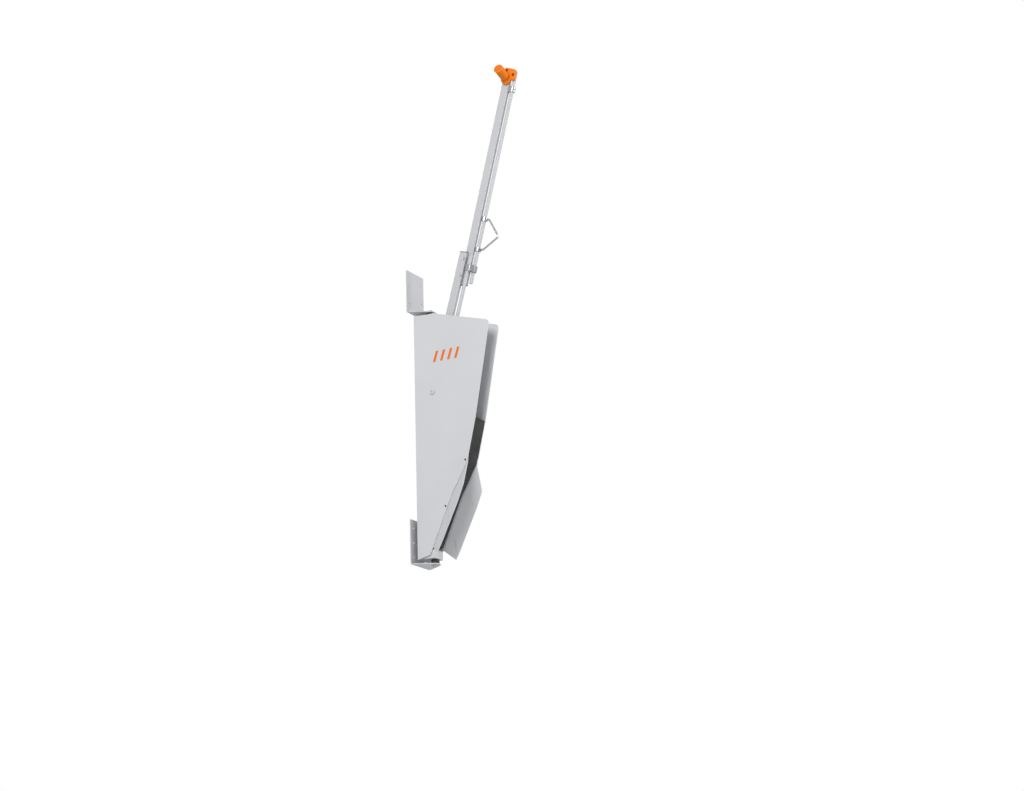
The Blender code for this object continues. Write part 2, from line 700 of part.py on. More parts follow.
def build_clamps():
    """Blocks that hold the rods to the bars, and the coupler where the rods pass each other."""
    wall = 0.009
    half = CLAMP_LENGTH / 2
    lower_edge = LOWER_BAR_ACROSS + BAR_WIDTH / 2 + GAP
    low = (lower_edge, LOWER_ROD_Y - 0.008, LOWER_CLAMP_PLACE - half)
    high = (LOWER_ROD_ACROSS + wall, LOWER_BAR_Y + BAR_DEPTH / 2, LOWER_CLAMP_PLACE + half)
    lower = box("brace_clamp_lower", low, high, ARM_FRAME, 0.001)
    rod_bore(lower, ARM_FRAME, LOWER_ROD_ACROSS, LOWER_ROD_Y, LOWER_CLAMP_PLACE)
    finish_object(lower, STEEL, 0.45, 0.7, "arm")
    low = (BAR_WIDTH / 2 + GAP, -0.0085, UPPER_CLAMP_PLACE - half)
    high = (UPPER_ROD_ACROSS + wall, 0.0085, UPPER_CLAMP_PLACE + half)
    upper = box("brace_clamp_upper", low, high, UPPER_FRAME, 0.001)
    rod_bore(upper, UPPER_FRAME, UPPER_ROD_ACROSS, 0.0, UPPER_CLAMP_PLACE)
    finish_object(upper, STEEL, 0.45, 0.7, "arm")
    outline = rounded_outline((
        (0.0077, -0.0205, 0.002),
        (0.0230, -0.0205, 0.005),
        (0.0350, -0.0100, 0.005),
        (0.0350, 0.0075, 0.004),
        (0.0185, 0.0075, 0.003),
        (0.0185, -0.0061, 0.001),
        (0.0077, -0.0061, 0.001),
    ))
    place = ARM_FRAME @ Matrix.Translation((0.0, 0.0, COUPLER_PLACE))
    coupler = plate("rod_coupler", outline, COUPLER_LENGTH, place)
    rod_bore(coupler, ARM_FRAME, LOWER_ROD_ACROSS, LOWER_ROD_Y, COUPLER_PLACE)
    rod_bore(coupler, UPPER_FRAME, UPPER_ROD_ACROSS, 0.0, COUPLER_PLACE)
    finish_object(coupler, STEEL, 0.45, 0.7, "arm")


def build_splice():
    """Two bolts through both arm bars, with a nut on each."""
    face_y = LOWER_BAR_Y - BAR_DEPTH / 2 - GAP
    far_y = BAR_DEPTH / 2 + GAP
    radius = SPLICE_BOLT_RADIUS
    reach = far_y - face_y + 0.0045
    profile = (
        (0.0, 0.0030),
        (radius * 1.2, 0.0026),
        (radius * 1.75, 0.0010),
        (radius * 1.75, 0.0),
        (radius, 0.0),
        (radius, -reach),
        (0.0, -reach),
    )
    turn = ARM_FRAME.to_3x3()
    for place_name, place in zip(("lower", "upper"), SPLICE_PLACES):
        foot = ARM_FRAME @ Vector((SPLICE_ACROSS, face_y, place))
        bolt = turned("splice_bolt_" + place_name, profile, foot, turn @ Vector((0, -1, 0)), 20)
        finish_object(bolt, STEEL, 0.3, 0.9, "arm")
        nut = arm_cylinder("splice_nut_" + place_name, 0.0046, (SPLICE_ACROSS, far_y, place),
                           (SPLICE_ACROSS, far_y + 0.0035, place), 6)
        bore_end = (SPLICE_ACROSS, 0.03, place)
        bore = arm_cylinder("nut_bore", radius + GAP, (SPLICE_ACROSS, 0.0, place), bore_end, 20)
        combine(nut, bore, 'DIFFERENCE')
        finish_object(nut, STEEL, 0.3, 0.9, "arm")


def peg_axis():
    """The peg's foot on the head's outer face, and its direction."""
    face_y = -BAR_DEPTH / 2 - GAP - HEAD_THICK
    base = UPPER_FRAME @ Vector((0.0, face_y, PEG_PLACE))
    turn = UPPER_FRAME.to_3x3()
    direction = turn @ Vector((0.0, -math.cos(PEG_RISE), math.sin(PEG_RISE)))
    return base, direction


def build_hook():
    low = -BAR_DEPTH / 2 - GAP - HEAD_THICK
    high = -BAR_DEPTH / 2 - GAP
    outline = rounded_outline((
        (-0.0155, 0.957, 0.018),
        (0.017, 0.957, 0.012),
        (0.017, 0.971, 0.0015),
        (0.033, 0.971, 0.007),
        (0.033, 1.004, 0.010),
        (-0.0155, 1.012, 0.014),
    ), 5)
    upright = Matrix.Rotation(math.radians(90), 4, 'X')
    place = UPPER_FRAME @ Matrix.Translation((0.0, (low + high) / 2, 0.0)) @ upright
    head = plate("hook_head", outline, HEAD_THICK, place)
    add_bevel(head, 0.0015)
    base, direction = peg_axis()
    boss = cylinder("peg_foot", 0.011, base - direction * 0.006, base + direction * 0.006, 24)
    combine(head, boss, 'UNION')
    tip = base + direction * (ROLLER_END - 0.0035)
    core = cylinder("peg_core", PEG_RADIUS, base - direction * 0.004, tip, 24)
    combine(head, core, 'UNION')
    cut_hole(head, 0.0028, tip - direction * 0.014, tip + direction * 0.01, 12)
    finish_object(head, ORANGE, 0.4, 0.0, "arm")


def build_roller():
    base, direction = peg_axis()
    length = ROLLER_END - ROLLER_START
    inner = PEG_RADIUS + GAP
    profile = (
        (0.0031, length),
        (ROLLER_RADIUS - 0.003, length),
        (ROLLER_RADIUS - 0.0008, length - 0.001),
        (ROLLER_RADIUS, length - 0.003),
        (ROLLER_RADIUS, 0.002),
        (ROLLER_RADIUS - 0.0015, 0.0),
        (inner, 0.0),
        (inner, length - 0.0032),
        (0.0031, length - 0.0032),
    )
    start = base + direction * ROLLER_START
    roller = turned("hook_roller", profile, start, direction, 28)
    finish_object(roller, ORANGE, 0.4, 0.0, "hook_roller")
    screw = (
        (0.0, 0.0024),
        (0.0030, 0.0021),
        (0.0048, 0.0012),
        (0.0054, GAP),
        (0.0025, GAP),
        (0.0025, -0.012),
        (0.0, -0.012),
    )
    obj = turned("roller_screw", screw, base + direction * ROLLER_END, direction, 16)
    finish_object(obj, ORANGE, 0.4, 0.0, "arm")


def build_handle():
    collar_radius = 0.0095
    half = 0.006
    for place_name, place in zip(("lower", "upper"), HANDLE_FEET):
        ends = [UPPER_FRAME @ Vector((UPPER_ROD_ACROSS, 0, place + shift)) for shift in (-half, half)]
        collar = cylinder("handle_collar_" + place_name, collar_radius, *ends, 28)
        rod_bore(collar, UPPER_FRAME, UPPER_ROD_ACROSS, 0.0, place)
        finish_object(collar, STEEL, 0.4, 0.8, "arm")
    start = UPPER_ROD_ACROSS + collar_radius + GAP
    foot = start + 0.006
    low = Vector((foot, HANDLE_FEET[0]))
    high = Vector((foot, HANDLE_FEET[1]))
    apex = Vector((HANDLE_REACH, HANDLE_APEX))
    bend = corner_arc(low, apex, high, 0.008, 6)
    route = [Vector((start, low.y)), low, *bend, high, Vector((start, high.y))]
    points = [(place.x, 0.0, place.y) for place in route]
    handle = wire("pull_handle", points, HANDLE_WIRE, UPPER_FRAME)
    finish_object(handle, STEEL, 0.3, 0.9, "arm")


# Lift spring and its carriage

def build_carriage():
    centre = Vector((PIVOT.x, 0.0, CARRIAGE_Z))
    half = CARRIAGE_DEPTH / 2
    top = CARRIAGE_Z + 0.0085
    carriage = box("cam_carriage", (centre.x - half, -CARRIAGE_HALF, top - CARRIAGE_HEIGHT),
                   (centre.x + half, CARRIAGE_HALF, top), bevel=0.001)
    slot = box("roller_slot", (centre.x - 0.03, -CARRIAGE_SLOT / 2, CARRIAGE_Z - CAM_ROLLER_RADIUS - 0.0015),
               (centre.x + 0.03, CARRIAGE_SLOT / 2, CARRIAGE_Z + 0.05))
    combine(carriage, slot, 'DIFFERENCE')
    cut_hole(carriage, 0.0043, centre - Vector((0, 0.05, 0)), centre + Vector((0, 0.05, 0)))
    finish_object(carriage, STEEL, 0.45, 0.7, "carriage")
    reach = Vector((0, CARRIAGE_HALF, 0))
    pin = cylinder("roller_pin", 0.004, centre - reach, centre + reach)
    finish_object(pin, STEEL, 0.25, 1.0, "carriage")
    wide = CAM_ROLLER_WIDTH
    profile = ((0.0043, wide), (CAM_ROLLER_RADIUS, wide), (CAM_ROLLER_RADIUS, 0.0), (0.0043, 0.0))
    roller = turned("cam_roller", profile, centre - Vector((0, wide / 2, 0)), (0, 1, 0), 28)
    finish_object(roller, STEEL, 0.25, 1.0, "cam_roller")
    for side_name, side_y in SIDES:
        for place_name, side_x in (("rear", -1), ("front", 1)):
            near = centre.x + side_x * (half + 0.0005)
            far = near + side_x * 0.004
            low = (min(near, far), min(side_y * RAIL_INNER, side_y * INNER_HALF), -0.470)
            high = (max(near, far), max(side_y * RAIL_INNER, side_y * INNER_HALF), -0.352)
            rail = box(f"{side_name}_{place_name}_rail", low, high)
            finish_object(rail, DARK, 0.5, 0.0, "housing")


def build_gas_spring():
    axis_x = PIVOT.x
    rod_top = CARRIAGE_Z + 0.0085 - CARRIAGE_HEIGHT - GAP
    rod = cylinder("gas_rod", GAS_ROD_RADIUS, (axis_x, 0, -0.580), (axis_x, 0, rod_top), 20)
    finish_object(rod, STEEL, 0.12, 1.0, "carriage")
    height = GAS_BODY_TOP - GAS_BODY_BOTTOM
    outer = GAS_BODY_RADIUS
    bore = GAS_ROD_RADIUS + GAP
    profile = (
        (bore, height),
        (outer - 0.002, height),
        (outer, height - 0.002),
        (outer, 0.002),
        (outer - 0.002, 0.0),
        (0.0, 0.0),
        (0.0, 0.012),
        (bore, 0.012),
    )
    body = turned("gas_cylinder", profile, (axis_x, 0.0, GAS_BODY_BOTTOM), (0, 0, 1), 24)
    finish_object(body, DARK, 0.35, 0.3, "housing")
    base_top = GAS_BODY_BOTTOM - GAP
    base_half = INNER_HALF - 0.003
    base = box("spring_base", (BACK_X + 0.003 + GAP, -base_half, base_top - SPRING_BASE_HEIGHT),
               (axis_x + 0.012, base_half, base_top), bevel=0.001)
    finish_object(base, STEEL, 0.5, 0.6, "housing")


def build_joints():
    """The joints' empties, from the wall outwards."""
    peg_base, peg_direction = peg_axis()
    JOINTS["housing"] = joint_empty("rack_swivel", (SWIVEL_X, 0.0, 0.0))
    JOINTS["arm"] = joint_empty("arm_swing", PIVOT, JOINTS["housing"])
    JOINTS["carriage"] = joint_empty("carriage_slide", (PIVOT.x, 0.0, CARRIAGE_Z), JOINTS["housing"])
    JOINTS["cam_roller"] = joint_empty("cam_roller_spin", (PIVOT.x, 0.0, CARRIAGE_Z), JOINTS["carriage"])
    roller_foot = peg_base + peg_direction * ROLLER_START
    JOINTS["hook_roller"] = joint_empty("hook_roller_spin", roller_foot, JOINTS["arm"])


def main():
    build_joints()
    wall_bracket("upper_bracket", UPPER_PLATE_Z, UPPER_HOLES)
    wall_bracket("lower_bracket", LOWER_PLATE_Z, LOWER_HOLES)
    build_swivel()
    build_covers()
    build_frame()
    build_wheel_guides()
    build_stops()
    build_pivot()
    build_hub()
    build_cam()
    build_bars()
    build_clamps()
    build_splice()
    build_hook()
    build_roller()
    build_handle()
    build_carriage()
    build_gas_spring()


clear_scene()
PARTS = new_collection("bicycle_wall_rack")
CUTTERS = new_collection("cutters")
JOINTS = {}
main()
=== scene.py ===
"""Looks of the bicycle wall rack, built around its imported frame.

Metres throughout, in the frame's own axes: the wall is X = 0, +X points out of it, +Z is up.
"""
import json
import math

import bmesh
import bpy
from mathutils import Matrix, Vector
from mathutils.geometry import tessellate_polygon


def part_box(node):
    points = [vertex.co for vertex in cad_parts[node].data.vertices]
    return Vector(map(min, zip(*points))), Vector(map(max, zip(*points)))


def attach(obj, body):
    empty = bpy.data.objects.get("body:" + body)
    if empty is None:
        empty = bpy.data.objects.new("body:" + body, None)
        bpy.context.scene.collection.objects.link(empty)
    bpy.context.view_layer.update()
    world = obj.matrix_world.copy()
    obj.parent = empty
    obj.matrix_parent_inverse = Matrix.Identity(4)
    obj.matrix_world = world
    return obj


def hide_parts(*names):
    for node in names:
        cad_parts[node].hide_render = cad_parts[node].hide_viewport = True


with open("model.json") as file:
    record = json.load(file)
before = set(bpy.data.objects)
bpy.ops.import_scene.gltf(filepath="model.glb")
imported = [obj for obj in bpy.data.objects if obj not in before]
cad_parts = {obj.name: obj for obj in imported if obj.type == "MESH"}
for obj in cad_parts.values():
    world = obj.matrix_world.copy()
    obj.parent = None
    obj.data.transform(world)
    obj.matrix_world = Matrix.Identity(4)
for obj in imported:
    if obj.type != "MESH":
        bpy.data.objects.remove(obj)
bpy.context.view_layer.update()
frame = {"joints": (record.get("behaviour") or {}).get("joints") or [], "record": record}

RECORD = frame["record"]
JOINTS = {joint["name"]: joint for joint in frame["joints"]}
SLOT_OF = {row["node"]: row["material_slot"] for row in RECORD["subparts"]}
BODY_OF = {node: body for body, nodes in RECORD["behaviour"]["bodies"].items() for node in nodes}

# Dimensions shared with the CAD model
GAP = 0.0003
PLATE_WIDTH = 0.095
PLATE_HEIGHT = 0.134
PLATE_THICK = 0.003
FLANGE_REACH = 0.069
WALL_HOLE_RADIUS = 0.0032
UPPER_HOLES = ((-0.034, 0.020), (-0.034, -0.037), (0.034, 0.037), (0.034, -0.020))
LOWER_HOLES = tuple((y, z) for y in (-0.031, 0.031) for z in (-0.043, 0.0, 0.043))
SWIVEL_X = JOINTS["rack_swivel"]["pos_m"][0]
SWIVEL_PIN_RADIUS = 0.005
HALF_WIDTH = 0.030
COVER_THICK = 0.0025
INNER_HALF = HALF_WIDTH - COVER_THICK - GAP
COVER_CORNERS = (
    (0.014, -0.814, 0.002),
    (0.056, -0.8035, 0.004),
    (0.131, -0.637, 0.030),
    (0.185, -0.5445, 0.040),
    (0.216, -0.4185, 0.050),
    (0.270, -0.134, 0.014),
    (0.088, -0.0815, 0.060),
    (0.014, -0.076, 0.002),
)
FRONT_EDGE = ((0.216, -0.4185), (0.185, -0.5445), (0.131, -0.637), (0.056, -0.8035))
GUIDE_SCREWS = ((0.179, -0.5408), (0.1105, -0.6678))
GUIDE_SCREW_RADIUS = 0.0015
PAD_HALF = 0.0248
PIVOT = Vector(JOINTS["arm_swing"]["pos_m"])
PIVOT_RADIUS = 0.006
PIVOT_BORE = PIVOT_RADIUS + GAP
ARM_LEAN = math.radians(16.2)
UPPER_TURN = math.radians(-0.93)
UPPER_TURN_PLACE = 0.455
UPPER_SHIFT = 0.0012
ARM_FRAME = Matrix.Translation(PIVOT) @ Matrix.Rotation(ARM_LEAN, 4, 'Y')
UPPER_FRAME = (ARM_FRAME @ Matrix.Translation((UPPER_SHIFT, 0.0, UPPER_TURN_PLACE))
               @ Matrix.Rotation(UPPER_TURN, 4, 'Y') @ Matrix.Translation((0.0, 0.0, -UPPER_TURN_PLACE)))
PEG_BASE = Vector(JOINTS["hook_roller_spin"]["pos_m"])
PEG_AXIS = Vector(JOINTS["hook_roller_spin"]["axis"]).normalized()
BAR_HALF = 0.013
BAR_DEEP = 0.0055
BAR_WALL = 0.002
LOWER_BAR = Vector((-0.0121, -0.0113))
UPPER_BAR = Vector((0.0, 0.0))
ROD_RADIUS = 0.0055
LOWER_ROD = Vector((0.0150, -0.0130))
UPPER_ROD = Vector((0.0245, 0.0))
ROD_BORE = ROD_RADIUS + GAP
CLAMP_HALF = 0.009
COUPLER_PLACE = 0.385
COUPLER_HALF = 0.010
HANDLE_FEET = (0.4455, 0.5390)
SPLICE_PLACES = (("lower", 0.360), ("upper", 0.410))
SPLICE_ACROSS = -0.0049
SPLICE_BOLT_RADIUS = 0.0025
COLLAR_RADIUS = 0.0095
COLLAR_HALF = 0.006
ROLLER_END = 0.051
CAM_AXIS_Z = JOINTS["cam_roller_spin"]["pos_m"][2]

# An outline drawn in X and Y, stood up to face along Y or along X
UPRIGHT = Matrix.Rotation(math.radians(90), 4, 'X')
FACING_OUT = Matrix(((0, 0, 1, 0), (1, 0, 0, 0), (0, 1, 0, 0), (0, 0, 0, 1)))
SIDES = (("left", -1), ("right", 1))


def pointing(direction):
    """The turn that points Z along a direction."""
    return Vector(direction).to_track_quat('Z', 'Y').to_matrix().to_4x4()


# Outlines

def corner_arc(before, corner, after, radius, steps):
    """Points of the arc that rounds one corner."""
    back = (before - corner).normalized()
    onward = (after - corner).normalized()
    half = back.angle(onward) / 2
    reach = radius / math.tan(half)
    centre = corner + (back + onward).normalized() * radius / math.sin(half)
    first = corner + back * reach - centre
    sweep = first.angle_signed(corner + onward * reach - centre)
    return [centre + Matrix.Rotation(-sweep * step / steps, 2) @ first for step in range(steps + 1)]


def rounded(corners, closed=True, steps=8):
    """The points of an outline or an open line whose corners are (x, y, radius)."""
    points = []
    count = len(corners)
    for index, (x, y, radius) in enumerate(corners):
        corner = Vector((x, y))
        inner = closed or 0 < index < count - 1
        if radius > 0 and inner:
            before = Vector(corners[index - 1][:2])
            after = Vector(corners[(index + 1) % count][:2])
            points.extend(corner_arc(before, corner, after, radius, steps))
        else:
            points.append(corner)
    return points


def circle(x, y, radius, steps=32):
    turns = [math.tau * step / steps for step in range(steps)]
    return [Vector((x + radius * math.cos(turn), y + radius * math.sin(turn))) for turn in turns]


def rectangle(x_low, y_low, x_high, y_high, radius, steps=6):
    corners = ((x_low, y_low), (x_high, y_low), (x_high, y_high), (x_low, y_high))
    return rounded([(*corner, radius) for corner in corners], steps=steps)


def rectangle_about(centre, half_wide, half_deep, radius, steps=6):
    return rectangle(centre.x - half_wide, centre.y - half_deep, centre.x + half_wide, centre.y + half_deep,
                     radius, steps)


def oriented(loop, sign):
    """The loop, turned so that its area has that sign."""
    area = sum(a.cross(b) for a, b in zip(loop, loop[1:] + loop[:1]))
    return loop if area * sign > 0 else loop[::-1]


def inset(loop, depth):
    """The loop moved to its own left by depth."""
    moved = []
    for index, point in enumerate(loop):
        before = (point - loop[index - 1]).normalized()
        after = (loop[(index + 1) % len(loop)] - point).normalized()
        left = Vector((-before.y - after.y, before.x + after.x)).normalized()
        share = max(0.35, left.dot(Vector((-before.y, before.x))))
        moved.append(point + left * (depth / share))
    return moved


# Solids

def to_object(name, shape, place=None):
    bmesh.ops.recalc_face_normals(shape, faces=shape.faces)
    mesh = bpy.data.meshes.new(name)
    shape.to_mesh(mesh)
    shape.free()
    if place is not None:
        mesh.transform(place)
    obj = bpy.data.objects.new(name, mesh)
    bpy.context.scene.collection.objects.link(obj)
    return obj


def plate_shape(outline, low, high, edge, holes=(), rows=3):
    """A flat solid between two heights, its rims rounded by edge."""
    loops = [oriented(outline, 1)] + [oriented(hole, -1) for hole in holes]
    stations = []
    for row in range(rows + 1):
        turn = math.radians(90) * row / rows
        stations.append((edge * (1 - math.sin(turn)), low + edge * (1 - math.cos(turn))))
    stations += [(depth, low + high - height) for depth, height in reversed(stations)]
    shape = bmesh.new()
    rings = []
    for loop in loops:
        rings.append([[shape.verts.new((*point, height)) for point in inset(loop, depth)]
                      for depth, height in stations])
    for levels in rings:
        for lower, upper in zip(levels, levels[1:]):
            for index in range(len(lower)):
                shape.faces.new((lower[index - 1], lower[index], upper[index], upper[index - 1]))
    for level in (0, -1):
        verts = [vert for levels in rings for vert in levels[level]]
        for corners in tessellate_polygon([[vert.co for vert in levels[level]] for levels in rings]):
            shape.faces.new([verts[corner] for corner in corners])
    return shape


def plate(name, outline, low, high, place=None, edge=0.0005, holes=(), rows=3):
    return to_object(name, plate_shape(outline, low, high, edge, holes, rows), place)


def side_plate(name, outline, low_y, high_y, edge=0.0005, holes=(), place=Matrix.Identity(4), rows=3):
    """A plate whose outline lies in the X-Z plane."""
    return plate(name, outline, -high_y, -low_y, place @ UPRIGHT, edge, holes, rows)


def lathe(name, profile, base, direction, steps=48, socket=None):
    """A solid of revolution from (radius, height) points, with a hexagon socket of (size, depth) on top."""
    rings = [(radius, height, False) for radius, height in profile]
    if socket is not None:
        size, depth = socket
        top = profile[0][1]
        rings[0:1] = [
            (0.0, top - depth - size * 0.5, False),
            (size, top - depth, True),
            (size, top - size * 0.12, True),
            (size * 1.25, top, False),
        ]
    shape = bmesh.new()
    levels = []
    for radius, height, hexagon in rings:
        if radius < 0.00001:
            levels.append([shape.verts.new((0.0, 0.0, height))] * steps)
            continue
        level = []
        for step in range(steps):
            turn = math.tau * step / steps
            reach = radius
            if hexagon:
                reach /= math.cos((turn + math.pi / 6) % (math.pi / 3) - math.pi / 6)
            level.append(shape.verts.new((reach * math.cos(turn), reach * math.sin(turn), height)))
        levels.append(level)
    if rings[0][0] > 0:
        levels.append(levels[0])
    for lower, upper in zip(levels, levels[1:]):
        for index in range(steps):
            corners = [lower[index - 1], lower[index], upper[index], upper[index - 1]]
            unique = list(dict.fromkeys(corners))
            if len(unique) > 2:
                shape.faces.new(unique)
    return to_object(name, shape, Matrix.Translation(base) @ pointing(direction))


def ring(name, outer, inner, low, high, base, direction, edge=0.0004, steps=48):
    corners = ((inner, high, edge), (outer, high, edge), (outer, low, edge), (inner, low, edge))
    return lathe(name, rounded(corners, steps=3), base, direction, steps)


def rod(name, radius, start, end, edge=0.0008, steps=40):
    """A round bar with softened ends."""
    length = (end - start).length
    profile = rounded((
        (0.0, length, 0),
        (radius, length, edge),
        (radius, 0.0, edge),
        (0.0, 0.0, 0),
    ), False, 4)
    return lathe(name, profile, start, end - start, steps)


def block(name, low, high, place=None, edge=0.0008, rows=3):
    shape = bmesh.new()
    bmesh.ops.create_cube(shape, size=1.0)
    bmesh.ops.scale(shape, vec=Vector(high) - Vector(low), verts=shape.verts)
    bmesh.ops.translate(shape, vec=(Vector(high) + Vector(low)) / 2, verts=shape.verts)
    bmesh.ops.bevel(shape, geom=shape.edges[:] + shape.verts[:], offset=edge, segments=rows, profile=0.5,
                    affect='EDGES')
    return to_object(name, shape, place)


def tube(name, path, radius, place, rows=6):
    """A round wire along a path."""
    curve = bpy.data.curves.new(name + "_path", 'CURVE')
    curve.dimensions = '3D'
    curve.bevel_depth = radius
    curve.bevel_resolution = rows
    curve.use_fill_caps = True
    spline = curve.splines.new('POLY')
    spline.points.add(len(path) - 1)
    for point, spot in zip(spline.points, path):
        point.co = (*spot, 1.0)
    guide = bpy.data.objects.new(name + "_path", curve)
    bpy.context.scene.collection.objects.link(guide)
    mesh = bpy.data.meshes.new_from_object(guide.evaluated_get(bpy.context.evaluated_depsgraph_get()))
    bpy.data.objects.remove(guide, do_unlink=True)
    shape = bmesh.new()
    shape.from_mesh(mesh)
    bmesh.ops.remove_doubles(shape, verts=shape.verts, dist=0.00001)
    return to_object(name, shape, place)


# Materials

class Finish:
    """A material whose nodes read the piece's own coordinates."""

    def __init__(self, name, colour, roughness, metallic=0.0, specular=0.5):
        self.material = bpy.data.materials.new(name)
        self.material.use_nodes = True
        self.tree = self.material.node_tree
        self.shader = self.tree.nodes["Principled BSDF"]
        self.colour = colour
        self.roughness = roughness
        self.shader.inputs["Base Color"].default_value = (*colour, 1.0)
        self.shader.inputs["Roughness"].default_value = roughness
        self.shader.inputs["Metallic"].default_value = metallic
        self.shader.inputs["Specular IOR Level"].default_value = specular
        self.place = self.tree.nodes.new("ShaderNodeTexCoord").outputs["Object"]
        self.paint = None
        self.normal = None

    def link(self, source, target):
        self.tree.links.new(source, target)

    def turned_place(self, rotation, scale):
        mapping = self.tree.nodes.new("ShaderNodeMapping")
        mapping.inputs["Rotation"].default_value = rotation
        mapping.inputs["Scale"].default_value = scale
        self.link(self.place, mapping.inputs["Vector"])
        return mapping.outputs["Vector"]

    def noise(self, scale, detail=2.0, rough=0.5, stretch=None, rotation=(0, 0, 0)):
        node = self.tree.nodes.new("ShaderNodeTexNoise")
        node.inputs["Scale"].default_value = scale
        node.inputs["Detail"].default_value = detail
        node.inputs["Roughness"].default_value = rough
        source = self.place if stretch is None else self.turned_place(rotation, stretch)
        self.link(source, node.inputs["Vector"])
        return node.outputs["Fac"]

    def spread(self, source, low, high, start=0.3, end=0.7):
        node = self.tree.nodes.new("ShaderNodeMapRange")
        for name, value in (("From Min", start), ("From Max", end), ("To Min", low), ("To Max", high)):
            node.inputs[name].default_value = value
        self.link(source, node.inputs["Value"])
        return node.outputs["Result"]

    def multiply(self, first, second):
        node = self.tree.nodes.new("ShaderNodeMath")
        node.operation = 'MULTIPLY'
        self.link(first, node.inputs[0])
        self.link(second, node.inputs[1])
        return node.outputs[0]

    def tint(self, factor, colour):
        """Mix another colour over the paint."""
        node = self.tree.nodes.new("ShaderNodeMix")
        node.data_type = 'RGBA'
        self.link(factor, node.inputs[0])
        if self.paint is None:
            node.inputs[6].default_value = (*self.colour, 1.0)
        else:
            self.link(self.paint, node.inputs[6])
        node.inputs[7].default_value = (*colour, 1.0)
        self.paint = node.outputs[2]
        self.link(self.paint, self.shader.inputs["Base Color"])

    def polish(self, source, low, high):
        """Roughness that varies with a texture."""
        self.link(self.spread(source, low, high), self.shader.inputs["Roughness"])

    def relief(self, source, distance, strength=1.0):
        node = self.tree.nodes.new("ShaderNodeBump")
        node.inputs["Distance"].default_value = distance
        node.inputs["Strength"].default_value = strength
        self.link(source, node.inputs["Height"])
        if self.normal is not None:
            self.link(self.normal, node.inputs["Normal"])
        self.normal = node.outputs["Normal"]
        self.link(self.normal, self.shader.inputs["Normal"])

    def worn_edges(self, colour, radius, low=0.05, high=0.5):
        """A rim of another colour where the surface turns, broken up by noise."""
        bevel = self.tree.nodes.new("ShaderNodeBevel")
        bevel.samples = 4
        bevel.inputs["Radius"].default_value = radius
        geometry = self.tree.nodes.new("ShaderNodeNewGeometry")
        dot = self.tree.nodes.new("ShaderNodeVectorMath")
        dot.operation = 'DOT_PRODUCT'
        self.link(bevel.outputs["Normal"], dot.inputs[0])
        self.link(geometry.outputs["True Normal"], dot.inputs[1])
        rim = self.spread(dot.outputs["Value"], 1.0, 0.0, 0.80, 0.985)
        patches = self.spread(self.noise(55.0, 4.0, 0.6), low, high, 0.40, 0.66)
        self.tint(self.multiply(rim, patches), colour)


def shade(colour, factor):
    return tuple(channel * factor for channel in colour)


def powder_coat(name, colour, roughness=0.44):
    """Satin powder coat: orange peel, slow tone changes, handling marks and lighter rims."""
    finish = Finish(name, colour, roughness, specular=0.45)
    finish.tint(finish.spread(finish.noise(5.0, 3.0), 0.0, 1.0), shade(colour, 0.955))
    finish.tint(finish.spread(finish.noise(900.0, 1.0), 0.0, 0.35, 0.35, 0.75), shade(colour, 0.90))
    marks = finish.noise(1.0, 5.0, 0.65, (190.0, 190.0, 14.0), (0.3, 0.2, 0.0))
    finish.tint(finish.spread(marks, 0.0, 0.22, 0.64, 0.76), shade(colour, 0.72))
    finish.worn_edges(shade(colour, 1.22), 0.0012)
    finish.polish(finish.noise(26.0, 4.0, 0.6), roughness - 0.08, roughness + 0.10)
    finish.relief(finish.noise(420.0, 2.0, 0.45), 0.00012, 0.55)
    finish.relief(finish.noise(60.0, 1.0), 0.00030, 0.22)
    return finish


def scuffed_coat(name, colour):
    """The same coat on the wheel guides, with dark rubs from tyres."""
    finish = powder_coat(name, colour)
    rubs = finish.noise(1.0, 6.0, 0.7, (150.0, 36.0, 11.0), (0.0, 0.42, 0.0))
    zone = finish.spread(finish.noise(9.0, 2.0), 0.0, 1.0, 0.42, 0.60)
    finish.tint(finish.multiply(finish.spread(rubs, 0.0, 0.42, 0.56, 0.72), zone), (0.13, 0.13, 0.135))
    return finish


def zinc_steel(name, colour, roughness, grain=(260.0, 260.0, 260.0)):
    """Plated or machined steel: drawn grain, cloudy tone and faint tarnish."""
    finish = Finish(name, colour, roughness, metallic=1.0)
    finish.tint(finish.spread(finish.noise(34.0, 3.0), 0.0, 0.9), shade(colour, 0.82))
    finish.tint(finish.spread(finish.noise(150.0, 4.0, 0.7), 0.0, 0.5, 0.56, 0.78), (0.40, 0.37, 0.33))
    lines = finish.noise(3.0, 3.0, 0.6, grain)
    finish.polish(lines, roughness - 0.07, roughness + 0.14)
    finish.relief(lines, 0.00010, 0.35)
    return finish


def moulded_plastic(name, colour, roughness, light=1.18, scuff=None):
    """Moulded plastic: fine spark-eroded texture, soft tone changes and rubbed rims."""
    finish = Finish(name, colour, roughness, specular=0.3)
    finish.tint(finish.spread(finish.noise(30.0, 3.0), 0.0, 0.8), shade(colour, 0.88))
    finish.tint(finish.spread(finish.noise(700.0, 2.0), 0.0, 0.5, 0.45, 0.8), shade(colour, 0.80))
    if scuff is not None:
        rubs = finish.noise(1.0, 5.0, 0.65, (45.0, 300.0, 45.0))
        finish.tint(finish.spread(rubs, 0.0, 0.30, 0.60, 0.74), scuff)
    finish.worn_edges(shade(colour, light), 0.0010, 0.05, 0.6)
    finish.polish(finish.noise(80.0, 4.0, 0.6), roughness - 0.07, roughness + 0.12)
    finish.relief(finish.noise(1500.0, 1.0), 0.00009, 0.5)
    return finish


